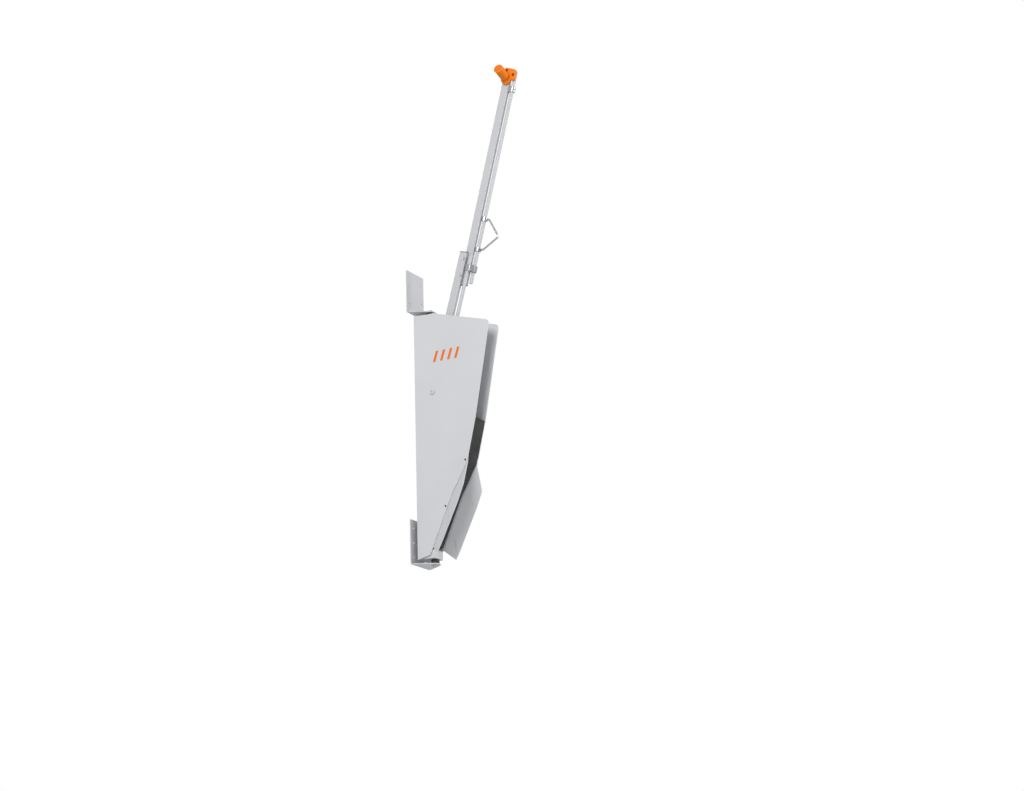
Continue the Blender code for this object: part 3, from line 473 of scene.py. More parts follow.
def rubber(name, colour):
    """Matt rubber with a pale bloom and small pits."""
    finish = Finish(name, colour, 0.78, specular=0.3)
    finish.tint(finish.spread(finish.noise(18.0, 5.0, 0.65), 0.0, 0.55, 0.40, 0.75), (0.105, 0.102, 0.098))
    finish.tint(finish.spread(finish.noise(650.0, 2.0), 0.0, 0.6, 0.55, 0.8), (0.012, 0.012, 0.013))
    finish.polish(finish.noise(60.0, 4.0, 0.6), 0.66, 0.90)
    finish.relief(finish.noise(520.0, 3.0, 0.6), 0.00020, 0.6)
    return finish


PAINT = (0.66, 0.67, 0.69)
ORANGE = (0.93, 0.225, 0.002)

FINISHES = {
    "painted_sheet": powder_coat("painted_sheet", PAINT),
    "painted_arm": powder_coat("painted_arm", (0.58, 0.59, 0.61), 0.42),
    "bracket_steel": powder_coat("bracket_steel", (0.60, 0.61, 0.63), 0.48),
    "orange_plastic": moulded_plastic("orange_plastic", ORANGE, 0.40, 1.05),
    "black_rubber": rubber("black_rubber", (0.035, 0.035, 0.037)),
    "black_plastic": moulded_plastic("black_plastic", (0.045, 0.045, 0.05), 0.46, 1.8),
    "spring_body": powder_coat("spring_body", (0.03, 0.03, 0.032), 0.36),
    "bright_steel": zinc_steel("bright_steel", (0.60, 0.60, 0.62), 0.30),
    "plain_steel": zinc_steel("plain_steel", (0.50, 0.51, 0.53), 0.38),
    "chromed_rod": zinc_steel("chromed_rod", (0.75, 0.75, 0.77), 0.14, (30.0, 30.0, 500.0)),
    "black_steel": zinc_steel("black_steel", (0.08, 0.08, 0.085), 0.36),
    "scuffed_coat": scuffed_coat("scuffed_coat", PAINT),
    "scuffed_orange": moulded_plastic("scuffed_orange", ORANGE, 0.36, 1.05, (0.42, 0.10, 0.01)),
    "orange_vinyl": moulded_plastic("orange_vinyl", (0.86, 0.18, 0.01), 0.50, 1.0),
}


# Pieces

def dress(obj, look):
    """Give a piece its material and its smooth normals."""
    obj.data.materials.clear()
    obj.data.materials.append(FINISHES[look].material)
    obj.data.shade_smooth()
    obj.data.set_sharp_from_angle(angle=math.radians(38))
    normals = obj.modifiers.new("flat faces stay flat", 'WEIGHTED_NORMAL')
    normals.keep_sharp = True


def piece(obj, node, look=None):
    """A piece that stands for a CAD node, on its body and in its slot."""
    slot = SLOT_OF[node]
    dress(obj, look or slot)
    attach(obj, BODY_OF[node])
    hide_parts(node)


def extra(obj, body, slot, look=None):
    """A small piece that the CAD model doesn't have."""
    dress(obj, look or slot)
    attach(obj, body)


def fine(node):
    return node + "_fine"


# Wall brackets and swivel

def build_bracket(node, low, places):
    """A drilled plate whose lower end is bent out into a tapered flange."""
    half = PLATE_WIDTH / 2
    outer = 0.005
    middle = outer - PLATE_THICK / 2
    bend = middle * math.pi / 2

    def flat(x):
        return -(x - outer) - bend

    top = PLATE_HEIGHT - outer
    outline = rounded((
        (-half, top, 0.003),
        (-half, flat(0.012), 0.010),
        (-0.011, flat(FLANGE_REACH), 0.013),
        (0.011, flat(FLANGE_REACH), 0.013),
        (half, flat(0.012), 0.010),
        (half, top, 0.003),
    ), steps=10)
    holes = [circle(y, PLATE_HEIGHT / 2 + z - outer, WALL_HOLE_RADIUS) for y, z in places]
    holes.append(circle(0.0, flat(SWIVEL_X), SWIVEL_PIN_RADIUS + GAP))
    shape = plate_shape(outline, 0.0, PLATE_THICK, 0.0005, holes)
    steps = 10
    for step in range(steps + 1):
        geometry = shape.verts[:] + shape.edges[:] + shape.faces[:]
        cut = (0, -bend * step / steps, 0)
        bmesh.ops.bisect_plane(shape, geom=geometry, plane_co=cut, plane_no=(0, 1, 0))
    for vert in shape.verts:
        across, along, depth = vert.co
        if along >= 0:
            x = depth
            z = outer + along
        elif along > -bend:
            turn = -along / middle
            x = outer - (outer - depth) * math.cos(turn)
            z = outer - (outer - depth) * math.sin(turn)
        else:
            x = outer - along - bend
            z = depth
        vert.co = (x, across, low + z)
    piece(to_object(fine(node), shape), node)


def build_swivel(node, face_z, up, reach):
    """A domed socket bolt through a flange."""
    radius = 0.009
    tall = 0.006
    profile = rounded((
        (0.0, tall, 0),
        (radius * 0.55, tall, 0.002),
        (radius, tall * 0.45, 0.0022),
        (radius, GAP, 0.0003),
        (SWIVEL_PIN_RADIUS, GAP, 0),
        (SWIVEL_PIN_RADIUS, -reach, 0.0008),
        (0.0, -reach, 0),
    ), False, 4)
    bolt = lathe(fine(node), profile, (SWIVEL_X, 0.0, face_z), (0, 0, up), 48, (0.0028, 0.0028))
    piece(bolt, node)


def build_wall_mount():
    upper_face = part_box("upper_bracket")[0].z
    lower_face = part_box("lower_bracket")[0].z
    build_bracket("upper_bracket", upper_face, UPPER_HOLES)
    build_bracket("lower_bracket", lower_face, LOWER_HOLES)
    build_swivel("swivel_bolt_upper", upper_face + PLATE_THICK, 1, 0.050)
    build_swivel("swivel_bolt_lower", lower_face, -1, 0.045)
    bore = SWIVEL_PIN_RADIUS + GAP
    for node, outer in (("swivel_washer_upper", 0.012), ("swivel_washer_lower", 0.012),
                        ("swivel_collar_upper", 0.009), ("swivel_collar_lower", 0.009)):
        low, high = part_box(node)
        obj = ring(fine(node), outer, bore, low.z, high.z, (SWIVEL_X, 0, 0), (0, 0, 1))
        piece(obj, node)


# Housing

def front_x(height, shift=0.0):
    """The covers' front edge at a height, moved along X by shift."""
    for (x_high, z_high), (x_low, z_low) in zip(FRONT_EDGE, FRONT_EDGE[1:]):
        if z_low <= height <= z_high:
            share = (height - z_low) / (z_high - z_low)
            return x_low + share * (x_high - x_low) + shift
    return FRONT_EDGE[-1][0] + shift


def build_covers():
    outline = rounded(COVER_CORNERS, steps=14)
    inner = HALF_WIDTH - COVER_THICK
    holes = [circle(PIVOT.x, PIVOT.z, PIVOT_BORE, 48)]
    holes += [circle(x, z, GUIDE_SCREW_RADIUS + GAP, 24) for x, z in GUIDE_SCREWS]
    for node, low, high in (("left_cover", -HALF_WIDTH, -inner), ("right_cover", inner, HALF_WIDTH)):
        piece(side_plate(fine(node), outline, low, high, 0.0006, holes), node)


def strip_outline(top, bottom, depth, thickness, grooves=0.0, pitch=0.009):
    """A strip behind the front edge, its outer side cut by rounded cross grooves."""
    heights = {top, bottom}
    heights.update(z for _, z in FRONT_EDGE[1:-1] if bottom < z < top)
    front = [(front_x(z, -depth), z) for z in sorted(heights, reverse=True)]
    back = [(front_x(z, -depth - thickness), z) for z in sorted(heights)]
    if grooves > 0:
        step = 0.0006
        count = int((top - bottom - pitch) / pitch)
        start = top - (top - bottom - count * pitch) / 2
        for index in range(count + 1):
            middle = start - index * pitch
            for offset, sink in ((-2, 0.0), (-1, 0.75), (0, 1.0), (1, 0.75), (2, 0.0)):
                z = middle + offset * step
                front.append((front_x(z, -depth - sink * grooves), z))
        front.sort(key=lambda point: -point[1])
    return [Vector(point) for point in front + back]


def build_front():
    behind = 0.0005
    pad_thick = 0.005
    pad = strip_outline(-0.4190, -0.5265, behind, pad_thick, 0.0009, 0.0072)
    piece(side_plate(fine("front_pad"), pad, -INNER_HALF, INNER_HALF, 0.0004), "front_pad")
    tread = strip_outline(-0.5268, -0.776, behind, pad_thick, 0.0012, 0.0094)
    piece(side_plate(fine("wheel_pad"), tread, -PAD_HALF, PAD_HALF, 0.0004), "wheel_pad")
    web = strip_outline(-0.4205, -0.776, behind + pad_thick + GAP, 0.0025)
    piece(side_plate(fine("front_web"), web, -PAD_HALF, PAD_HALF, 0.0004), "front_web")


def build_frame():
    low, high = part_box("back_plate")
    outline = rectangle(low.y, low.z, high.y, high.z, 0.001)
    piece(plate(fine("back_plate"), outline, low.x, high.x, FACING_OUT, 0.0004), "back_plate")
    for node in ("top_block", "bottom_block"):
        low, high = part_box(node)
        outline = rectangle(low.x, low.y, high.x, high.y, 0.0015)
        hole = circle(SWIVEL_X, 0.0, SWIVEL_PIN_RADIUS + GAP, 40)
        piece(plate(fine(node), outline, low.z, high.z, None, 0.0007, (hole,)), node)
    for node, edge in (("down_stop", 0.0025), ("spring_base", 0.0015)):
        low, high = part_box(node)
        piece(block(fine(node), low, high, edge=edge, rows=4), node)


def build_welds():
    """Short rippled beads in the corners between the back plate and the covers."""
    _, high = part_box("back_plate")
    low_z = -0.790
    pitch = 0.0965
    length = 0.026
    stitches = 8
    ripples = 16
    spokes = 10
    for name, side in SIDES:
        shape = bmesh.new()
        for stitch in range(stitches):
            start = low_z + stitch * pitch
            rings = []
            for step in range(ripples * 4 + 1):
                share = step / (ripples * 4)
                taper = min(1.0, 0.35 + 6 * share, 0.35 + 6 * (1 - share))
                radius = 0.0017 * taper * (1 + 0.13 * math.sin(math.tau * share * ripples))
                centre = Vector((high.x + 0.0002, side * INNER_HALF, start + share * length))
                level = []
                for spoke in range(spokes):
                    turn = math.tau * spoke / spokes
                    outward = Vector((math.cos(turn), -side * math.sin(turn), 0))
                    level.append(shape.verts.new(centre + radius * outward))
                rings.append(level)
            for lower, upper in zip(rings, rings[1:]):
                for index in range(spokes):
                    shape.faces.new((lower[index - 1], lower[index], upper[index], upper[index - 1]))
            shape.faces.new(rings[0])
            shape.faces.new(rings[-1])
        extra(to_object(name + "_weld_beads", shape), "housing", "painted_sheet")


def build_guide(name, side):
    """A flared guide: a strip inside the cover and a flare that widens the mouth."""
    node = name + "_wheel_guide"
    lead = 0.0015
    strip_wide = 0.016
    inside = side * 0.0262
    outside = side * 0.054
    fold = [Vector((front_x(z, lead), inside, z)) for z in (-0.5465, -0.637, -0.783)]
    strip_top = Vector((front_x(-0.528, -0.001), inside, -0.528))
    strip = [strip_top - Vector((strip_wide, 0, 0))]
    strip += [point - Vector((strip_wide + lead, 0, 0)) for point in fold]
    mouth_line = ((0.185, -0.618), (0.166, -0.6645), (0.109, -0.780), (0.093, -0.809))
    mouth = [Vector((x, outside, z)) for x, z in mouth_line]
    shape = bmesh.new()
    fold_verts = [shape.verts.new(point) for point in fold]
    strip_verts = [shape.verts.new(point) for point in strip]
    top_vert = shape.verts.new(strip_top)
    mouth_verts = [shape.verts.new(point) for point in mouth]
    for corners in (
        (strip_verts[0], strip_verts[1], fold_verts[0], top_vert),
        (strip_verts[1], strip_verts[2], fold_verts[1], fold_verts[0]),
        (strip_verts[2], strip_verts[3], fold_verts[2], fold_verts[1]),
        (fold_verts[0], fold_verts[1], mouth_verts[0]),
        (fold_verts[1], mouth_verts[1], mouth_verts[0]),
        (fold_verts[1], fold_verts[2], mouth_verts[2], mouth_verts[1]),
        (fold_verts[2], mouth_verts[3], mouth_verts[2]),
    ):
        shape.faces.new(corners)
    bmesh.ops.recalc_face_normals(shape, faces=shape.faces)
    shape.edges.ensure_lookup_table()
    bends = [edge for edge in shape.edges
             if not edge.is_boundary and edge.calc_face_angle(0) > math.radians(4)]
    bmesh.ops.bevel(shape, geom=bends, offset=0.0035, segments=6, profile=0.5, affect='EDGES')
    obj = to_object(fine(node), shape)
    sheet = obj.modifiers.new("sheet", 'SOLIDIFY')
    sheet.thickness = 0.0018
    sheet.offset = 0.0
    sheet.use_even_offset = True
    rim = obj.modifiers.new("rounded rim", 'BEVEL')
    rim.width = 0.0005
    rim.segments = 3
    rim.limit_method = 'ANGLE'
    rim.angle_limit = math.radians(60)
    piece(obj, node, "scuffed_coat")


def build_guides():
    for name, side in SIDES:
        build_guide(name, side)
        for place, (x, z) in zip(("upper", "lower"), GUIDE_SCREWS):
            node = f"{name}_guide_screw_{place}"
            profile = rounded((
                (0.0, 0.0019, 0),
                (0.0019, 0.0019, 0.0006),
                (0.0029, 0.0008, 0.0004),
                (0.0029, GAP, 0),
                (GUIDE_SCREW_RADIUS, GAP, 0),
                (GUIDE_SCREW_RADIUS, -0.0023, 0.0002),
                (0.0, -0.0023, 0),
            ), False, 4)
            screw = lathe(fine(node), profile, (x, side * HALF_WIDTH, z), (0, side, 0), 36, (0.0012, 0.0012))
            piece(screw, node)


def build_stops():
    low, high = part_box("up_stop")
    radius = (high.z - low.z) / 2
    length = high.x - low.x
    centre = (low.z + high.z) / 2
    profile = rounded((
        (0.0, length, 0),
        (radius, length, radius * 0.8),
        (radius, 0.004, 0.0006),
        (radius * 0.8, 0.0032, 0.0004),
        (radius * 0.8, 0.0024, 0.0004),
        (radius, 0.0016, 0.0006),
        (radius, 0.0, 0.0004),
        (0.0, 0.0, 0),
    ), False, 5)
    base = (low.x, (low.y + high.y) / 2, centre)
    piece(lathe(fine("up_stop"), profile, base, (1, 0, 0), 40), "up_stop")


def build_mark():
    """Four plain slanted strokes on the near cover."""
    slant = 0.34
    half_high = 0.0165
    half_wide = 0.0042
    first_x = 0.087
    pitch = 0.024
    middle_z = -0.214
    inner_y = -HALF_WIDTH - 0.00002
    film = 0.0002
    for index in range(4):
        middle_x = first_x + pitch * index
        corners = []
        for across, along in ((-1, -1), (1, -1), (1, 1), (-1, 1)):
            rise = along * half_high
            corners.append((middle_x + across * half_wide + rise * slant, middle_z + rise, 0.002))
        outline = rounded(corners, steps=6)
        obj = side_plate(f"cover_stripe_{index + 1}", outline, inner_y - film, inner_y, 0.00008)
        extra(obj, "housing", "orange_plastic", "orange_vinyl")


# Arm

def build_pivot():
    outer = HALF_WIDTH + GAP
    reach = 2 * outer + 0.0065
    head = rounded((
        (0.0, 0.0055, 0),
        (0.0045, 0.0055, 0.002),
        (0.0085, 0.0020, 0.0015),
        (0.0085, 0.0010, 0.0002),
        (0.0078, 0.0009, 0.0001),
        (0.0078, 0.0, 0),
        (PIVOT_RADIUS, 0.0, 0),
        (PIVOT_RADIUS, -reach, 0.0008),
        (0.0, -reach, 0),
    ), False, 4)
    bolt = lathe(fine("pivot_bolt"), head, PIVOT + Vector((0, -outer, 0)), (0, -1, 0), 60, (0.0026, 0.0028))
    piece(bolt, "pivot_bolt", "painted_sheet")
    low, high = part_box("pivot_nut")
    hexagon = circle(0, 0, 0.0095, 6)
    nut = plate_shape(hexagon, 0.0, high.y - low.y, 0.0007, (circle(0, 0, PIVOT_BORE, 40),))
    seat = Matrix.Translation((PIVOT.x, low.y, PIVOT.z)) @ pointing((0, 1, 0))
    piece(to_object(fine("pivot_nut"), nut, seat), "pivot_nut")
    barrel = 0.0085
    flange_radius = 0.012
    flange = 0.0203
    for name, side in SIDES:
        node = name + "_pivot_bush"
        low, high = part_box(node)
        start = low.y if side > 0 else -high.y
        end = high.y if side > 0 else -low.y
        profile = rounded((
            (PIVOT_BORE, end, 0.0003),
            (flange_radius, end, 0.0005),
            (flange_radius, flange, 0.0003),
            (barrel, flange, 0.0002),
            (barrel, start, 0.0004),
            (PIVOT_BORE, start, 0.0003),
        ), True, 3)
        piece(lathe(fine(node), profile, PIVOT, (0, side, 0), 48), node)


def build_hub():
    hub = ring(fine("arm_hub"), 0.019, 0.0088, -0.020, 0.020, PIVOT, (0, 1, 0), 0.0012, 64)
    piece(hub, "arm_hub")
    across = BAR_HALF - BAR_WALL - GAP
    deep = BAR_DEEP - BAR_WALL - GAP
    outline = rectangle_about(LOWER_BAR, across, deep, 0.0015)
    spigot = plate("arm_spigot", outline, 0.0125, 0.045, ARM_FRAME, 0.0004)
    extra(spigot, "arm", "plain_steel")


def build_cam():
    """The cam's follower moves in proportion to the arm's turn."""
    travel = math.radians(95)
    rise = 0.050 / travel
    low_angle = math.radians(-12)
    high_angle = travel + math.radians(12)
    steps = 48
    outline = []
    for step in range(steps + 1):
        angle = low_angle + (high_angle - low_angle) * step / steps
        radius = 0.055 + rise * angle
        outward = Vector((math.sin(angle), -math.cos(angle)))
        along = (outward * rise + Vector((math.cos(angle), math.sin(angle))) * radius).normalized()
        outline.append(outward * radius - Vector((along.y, -along.x)) * (0.011 + GAP))
    for step in range(25):
        angle = high_angle + (low_angle - high_angle) * step / 24
        outline.append(Vector((math.sin(angle), -math.cos(angle))) * 0.0195)
    shape = side_plate(fine("lift_cam"), outline, -0.005, 0.005, 0.0005, place=Matrix.Translation(PIVOT))
    piece(shape, "lift_cam")


def build_tube(node, place, centre, low, high):
    """A rectangular tube along the arm."""
    outer = rectangle_about(centre, BAR_HALF, BAR_DEEP, 0.0025, 8)
    inner = rectangle_about(centre, BAR_HALF - BAR_WALL, BAR_DEEP - BAR_WALL, 0.0008)
    piece(plate(fine(node), outer, low, high, place, 0.0004, (inner,)), node)


def build_bars():
    build_tube("lower_arm_bar", ARM_FRAME, LOWER_BAR, 0.030, 0.430)
    build_tube("upper_arm_bar", UPPER_FRAME, UPPER_BAR, 0.335, 0.998)
    for name, place, centre, low, high in (
        ("lower_arm_bar_cap", ARM_FRAME, LOWER_BAR, 0.4301, 0.4322),
        ("upper_arm_bar_foot", UPPER_FRAME, UPPER_BAR, 0.3328, 0.3349),
        ("upper_arm_bar_cap", UPPER_FRAME, UPPER_BAR, 0.9981, 1.0004),
    ):
        cap = rectangle_about(centre, BAR_HALF - GAP, BAR_DEEP - GAP, 0.0022, 8)
        extra(plate(name, cap, low, high, place, 0.0008, rows=4), "arm", "black_plastic")
    for node, place, centre, low, high in (
        ("lower_brace_rod", ARM_FRAME, LOWER_ROD, 0.055, 0.425),
        ("upper_brace_rod", UPPER_FRAME, UPPER_ROD, 0.340, 1.000),
    ):
        start = place @ Vector((*centre, low))
        end = place @ Vector((*centre, high))
        piece(rod(fine(node), ROD_RADIUS, start, end, 0.0014, 48), node)


def build_clamp(node, frame_place, low, high, nose, centre, place):
    """A block that holds a rod to its bar, rounded by nose on the rod's side, with its grub screw."""
    saddle = rounded((
        (low.x, low.y, 0.001),
        (high.x, low.y, nose),
        (high.x, high.y, nose),
        (low.x, high.y, 0.001),
    ))
    hole = circle(*centre, ROD_BORE, 40)
    clamp = plate(fine(node), saddle, place - CLAMP_HALF, place + CLAMP_HALF, frame_place, 0.0009, (hole,))
    piece(clamp, node)
    grub_screw(node + "_screw", frame_place, centre + Vector((0.0088, 0)), place)


def build_clamps():
    """The clamps, the coupler between the two rods, and the handle's collars."""
    low = Vector((LOWER_BAR.x + BAR_HALF + GAP, LOWER_ROD.y - 0.008))
    high = Vector((LOWER_ROD.x + 0.009, LOWER_BAR.y + BAR_DEEP))
    build_clamp("brace_clamp_lower", ARM_FRAME, low, high, 0.0060, LOWER_ROD, 0.085)
    low = Vector((BAR_HALF + GAP, -0.0085))
    high = Vector((UPPER_ROD.x + 0.009, 0.0085))
    build_clamp("brace_clamp_upper", UPPER_FRAME, low, high, 0.0080, UPPER_ROD, 0.945)
    for node, place in zip(("handle_collar_lower", "handle_collar_upper"), HANDLE_FEET):
        loop = circle(*UPPER_ROD, COLLAR_RADIUS, 64)
        hole = circle(*UPPER_ROD, ROD_BORE, 40)
        low = place - COLLAR_HALF
        high = place + COLLAR_HALF
        piece(plate(fine(node), loop, low, high, UPPER_FRAME, 0.0007, (hole,)), node)
    outline = rounded((
        (0.0077, -0.0205, 0.002),
        (0.0230, -0.0205, 0.005),
        (0.0350, -0.0100, 0.005),
        (0.0350, 0.0075, 0.004),
        (0.0185, 0.0075, 0.003),
        (0.0185, -0.0061, 0.001),
        (0.0077, -0.0061, 0.001),
    ))
    upper_rod = ARM_FRAME.inverted() @ (UPPER_FRAME @ Vector((UPPER_ROD.x, 0, COUPLER_PLACE)))
    holes = (circle(*LOWER_ROD, ROD_BORE, 40), circle(upper_rod.x, 0, ROD_BORE, 40))
    low_end = COUPLER_PLACE - COUPLER_HALF
    high_end = COUPLER_PLACE + COUPLER_HALF
    piece(plate(fine("rod_coupler"), outline, low_end, high_end, ARM_FRAME, 0.0007, holes), "rod_coupler")


def build_splice():
    """Two bolts through both arm bars, with a nut on each."""
    near = LOWER_BAR.y - BAR_DEEP - GAP
    far = BAR_DEEP + GAP
    radius = SPLICE_BOLT_RADIUS
    reach = far - near + 0.0045
    towards = ARM_FRAME.to_3x3() @ Vector((0, -1, 0))
    profile = rounded((
        (0.0, 0.0029, 0),
        (radius * 1.2, 0.0029, 0.0012),
        (radius * 1.75, 0.0010, 0.0004),
        (radius * 1.75, 0.0, 0),
        (radius, 0.0, 0),
        (radius, -reach, 0.0004),
        (0.0, -reach, 0),
    ), False, 4)
    hexagon = circle(0, 0, 0.0046, 6)
    for name, place in SPLICE_PLACES:
        foot = ARM_FRAME @ Vector((SPLICE_ACROSS, near, place))
        bolt = lathe(fine("splice_bolt_" + name), profile, foot, towards, 40, (0.0015, 0.0016))
        piece(bolt, "splice_bolt_" + name)
        shape = plate_shape(hexagon, 0.0, 0.0035, 0.0004, (circle(0, 0, radius + GAP, 32),))
        seat = ARM_FRAME @ Matrix.Translation((SPLICE_ACROSS, far, place)) @ pointing((0, 1, 0))
        piece(to_object(fine("splice_nut_" + name), shape, seat), "splice_nut_" + name)


def grub_screw(name, frame_place, centre, place):
    """A small socket screw that stands just proud of a clamp."""
    base = frame_place @ Vector((*centre, place))
    direction = frame_place.to_3x3() @ Vector((1, 0, 0))
    profile = rounded((
        (0.0, 0.0006, 0),
        (0.0026, 0.0006, 0.0003),
        (0.0026, -0.0015, 0),
        (0.0, -0.0015, 0),
    ), False, 3)
    extra(lathe(name, profile, base, direction, 36, (0.0012, 0.0014)), "arm", "black_steel")


def build_hook():
    high_y = -BAR_DEEP - GAP
    low_y = high_y - 0.008
    outline = rounded((
        (-0.0155, 0.957, 0.018),
        (0.017, 0.957, 0.012),
        (0.017, 0.971, 0.0015),
        (0.033, 0.971, 0.007),
        (0.033, 1.004, 0.010),
        (-0.0155, 1.0119, 0.014),
    ), steps=12)
    head = side_plate(fine("hook_head"), outline, low_y, high_y, 0.0018, place=UPPER_FRAME, rows=5)
    piece(head, "hook_head")
    foot = rounded((
        (0.0, 0.0060, 0),
        (0.0108, 0.0060, 0.0012),
        (0.0112, 0.0032, 0.0030),
        (0.0150, 0.0012, 0.0060),
        (0.0160, -0.0035, 0),
        (0.0, -0.0050, 0),
    ), False, 6)
    extra(lathe("peg_boss", foot, PEG_BASE, PEG_AXIS, 64), "arm", "orange_plastic")
    core = rod("peg_core", 0.007, PEG_BASE + PEG_AXIS * 0.004, PEG_BASE + PEG_AXIS * (ROLLER_END - 0.0035))
    extra(core, "arm", "orange_plastic")
    outwards = UPPER_FRAME.to_3x3() @ Vector((0, -1, 0))
    for name, across, along in (("head_screw_bar", 0.0, 1.0005), ("head_screw_brace", UPPER_ROD.x, 0.9875)):
        profile = rounded((
            (0.0, 0.0022, 0),
            (0.0024, 0.0022, 0.0008),
            (0.0040, 0.0008, 0.0006),
            (0.0040, -0.0004, 0),
            (0.0, -0.0004, 0),
        ), False, 4)
        base = UPPER_FRAME @ Vector((across, low_y, along))
        extra(lathe(name, profile, base, outwards, 40, (0.0014, 0.0016)), "arm", "black_steel")


def build_roller():
    radius = 0.0145
    inner = 0.0073
    start = 0.007
    end = ROLLER_END
    profile = rounded((
        (0.0031, end - 0.0010, 0.0002),
        (0.0080, end - 0.0010, 0.0004),
        (0.0088, end, 0.0004),
        (radius, end, 0.0036),
        (radius, start, 0.0016),
        (inner, start, 0.0003),
        (inner, end - 0.0032, 0),
        (0.0031, end - 0.0032, 0),
    ), True, 7)
    piece(lathe(fine("hook_roller"), profile, PEG_BASE, PEG_AXIS, 72), "hook_roller", "scuffed_orange")
    screw = rounded((
        (0.0, end + 0.0022, 0),
        (0.0026, end + 0.0022, 0.0008),
        (0.0054, end + 0.0006, 0.0005),
        (0.0054, end - 0.0007, 0),
        (0.0025, end - 0.0007, 0),
        (0.0025, end - 0.012, 0),
        (0.0, end - 0.012, 0),
    ), False, 4)
    piece(lathe(fine("roller_screw"), screw, PEG_BASE, PEG_AXIS, 48, (0.0016, 0.0014)), "roller_screw")


def build_handle():
    start = UPPER_ROD.x + COLLAR_RADIUS + GAP
    foot = start + 0.0065
    low_foot, high_foot = HANDLE_FEET
    line = rounded((
        (start, low_foot, 0),
        (foot, low_foot, 0.004),
        (0.085, 0.4890, 0.008),
        (foot, high_foot, 0.004),
        (start, high_foot, 0),
    ), False, 12)
    path = [Vector((point.x, 0.0, point.y)) for point in line]
    piece(tube(fine("pull_handle"), path, 0.0028, UPPER_FRAME, 7), "pull_handle")


# Lift spring

def build_carriage():
    low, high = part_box("cam_carriage")
    slot_half = 0.0085
    floor = CAM_AXIS_Z - 0.0125
    outline = rounded((
        (low.y, low.z, 0.0015),
        (high.y, low.z, 0.0015),
        (high.y, high.z, 0.0030),
        (slot_half, high.z, 0.0010),
        (slot_half, floor, 0.0020),
        (-slot_half, floor, 0.0020),
        (-slot_half, high.z, 0.0010),
        (low.y, high.z, 0.0030),
    ), steps=5)
    piece(plate(fine("cam_carriage"), outline, low.x, high.x, FACING_OUT, 0.0008), "cam_carriage")
    centre = Vector((PIVOT.x, 0, CAM_AXIS_Z))
    reach = Vector((0, 0.0265, 0))
    piece(rod(fine("roller_pin"), 0.004, centre - reach, centre + reach, 0.0005), "roller_pin")
    roller = ring(fine("cam_roller"), 0.011, 0.0043, -0.007, 0.007, centre, (0, 1, 0), 0.0006, 56)
    piece(roller, "cam_roller")
    for name, _ in SIDES:
        for place in ("rear", "front"):
            node = f"{name}_{place}_rail"
            low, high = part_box(node)
            piece(block(fine(node), low, high, edge=0.0006), node)
    low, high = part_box("gas_rod")
    piece(rod(fine("gas_rod"), 0.005, Vector((PIVOT.x, 0, low.z)), Vector((PIVOT.x, 0, high.z))), "gas_rod")
    low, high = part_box("gas_cylinder")
    outer = 0.0135
    length = high.z - low.z
    profile = rounded((
        (0.0053, length, 0.0004),
        (outer - 0.003, length, 0.0015),
        (outer, length - 0.003, 0.0015),
        (outer, length - 0.014, 0.0010),
        (outer - 0.0012, length - 0.016, 0.0008),
        (outer, length - 0.018, 0.0010),
        (outer, 0.0, 0.0025),
        (0.0053, 0.0, 0.0004),
    ), True, 4)
    piece(lathe(fine("gas_cylinder"), profile, (PIVOT.x, 0, low.z), (0, 0, 1), 56), "gas_cylinder")


# Studio

def build_camera():
    """A view from the front left, from below the rack."""
    place = (3.2271, -5.3117, -2.1661)
    right = Vector((0.873, 0.487, -0.029)).normalized()
    back = Vector((0.460, -0.841, -0.285)).normalized()
    up = back.cross(right).normalized()
    right = up.cross(back)
    data = bpy.data.cameras.new("camera")
    data.lens = 77.3
    data.sensor_width = 36.0
    camera = bpy.data.objects.new("camera", data)
    camera.matrix_world = Matrix.Translation(place) @ Matrix((
        (right.x, up.x, back.x, 0),
        (right.y, up.y, back.y, 0),
        (right.z, up.z, back.z, 0),
        (0, 0, 0, 1),
    ))
    bpy.context.scene.collection.objects.link(camera)
    bpy.context.scene.camera = camera


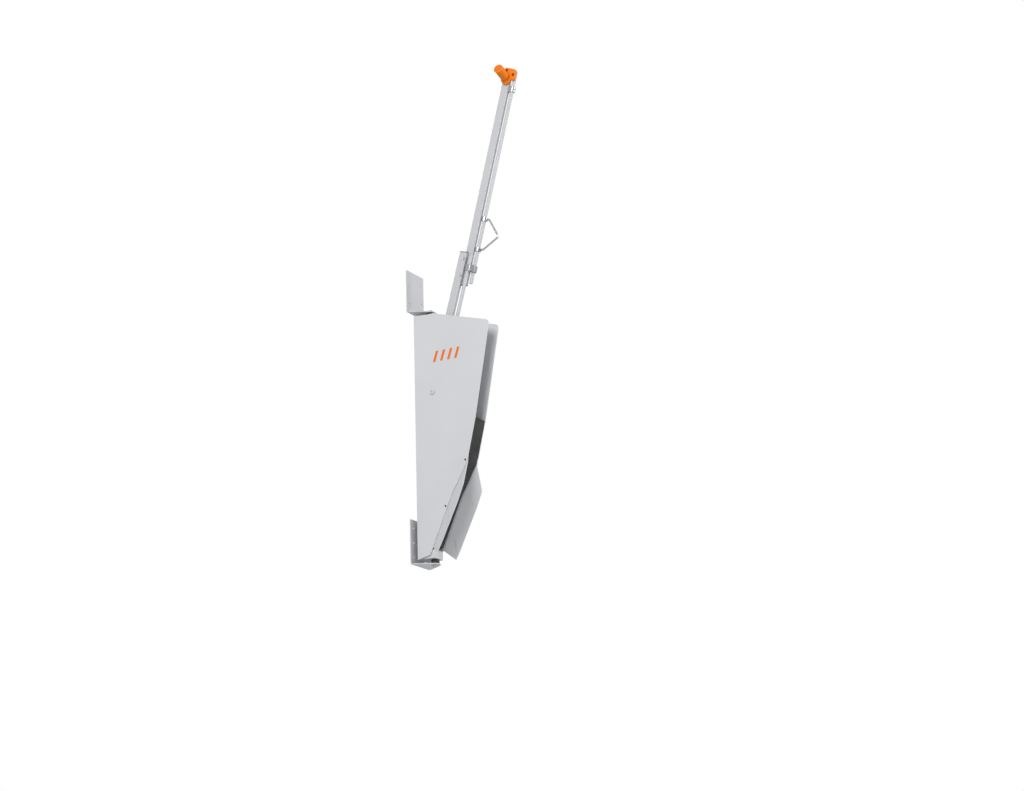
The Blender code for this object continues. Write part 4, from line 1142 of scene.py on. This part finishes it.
def area_light(name, place, size, power):
    data = bpy.data.lights.new(name, 'AREA')
    data.shape = 'DISK'
    data.size = size
    data.energy = power
    light = bpy.data.objects.new(name, data)
    target = Vector((0.12, 0.0, -0.25))
    light.matrix_world = Matrix.Translation(place) @ pointing(Vector(place) - target)
    bpy.context.scene.collection.objects.link(light)


def build_studio():
    scene = bpy.context.scene
    scene.view_settings.view_transform = 'Standard'
    world = bpy.data.worlds.new("studio")
    scene.world = world
    world.use_nodes = True
    nodes = world.node_tree.nodes
    links = world.node_tree.links
    sky = nodes["Background"]
    sky.inputs["Color"].default_value = (1, 1, 1, 1)
    rays = nodes.new("ShaderNodeLightPath")
    level = nodes.new("ShaderNodeMapRange")
    level.inputs["To Min"].default_value = 0.43
    level.inputs["To Max"].default_value = 1.0
    links.new(rays.outputs["Is Camera Ray"], level.inputs["Value"])
    links.new(level.outputs["Result"], sky.inputs["Strength"])
    area_light("key", (0.9, -4.3, 1.4), 2.2, 128)
    area_light("front_fill", (4.0, 1.5, 1.1), 2.4, 92)
    area_light("back_fill", (-2.6, 3.4, 1.4), 2.6, 60)
    shape = bmesh.new()
    bmesh.ops.create_grid(shape, x_segments=12, y_segments=12, size=14)
    floor = to_object("floor", shape, Matrix.Translation((0, 0, -3.2)))
    finish = Finish("pale_floor", (0.86, 0.86, 0.86), 0.8, specular=0.2)
    finish.tint(finish.spread(finish.noise(0.8, 3.0), 0.0, 1.0), (0.84, 0.84, 0.845))
    seen = finish.tree.nodes.new("ShaderNodeLightPath")
    glow = finish.spread(seen.outputs["Is Camera Ray"], 0.0, 0.38, 0.0, 1.0)
    finish.shader.inputs["Emission Color"].default_value = (1, 1, 1, 1)
    finish.link(glow, finish.shader.inputs["Emission Strength"])
    floor.data.materials.append(finish.material)


build_camera()
build_studio()
build_wall_mount()
build_covers()
build_front()
build_frame()
build_welds()
build_guides()
build_stops()
build_mark()
build_pivot()
build_hub()
build_cam()
build_bars()
build_clamps()
build_splice()
build_hook()
build_roller()
build_handle()
build_carriage()
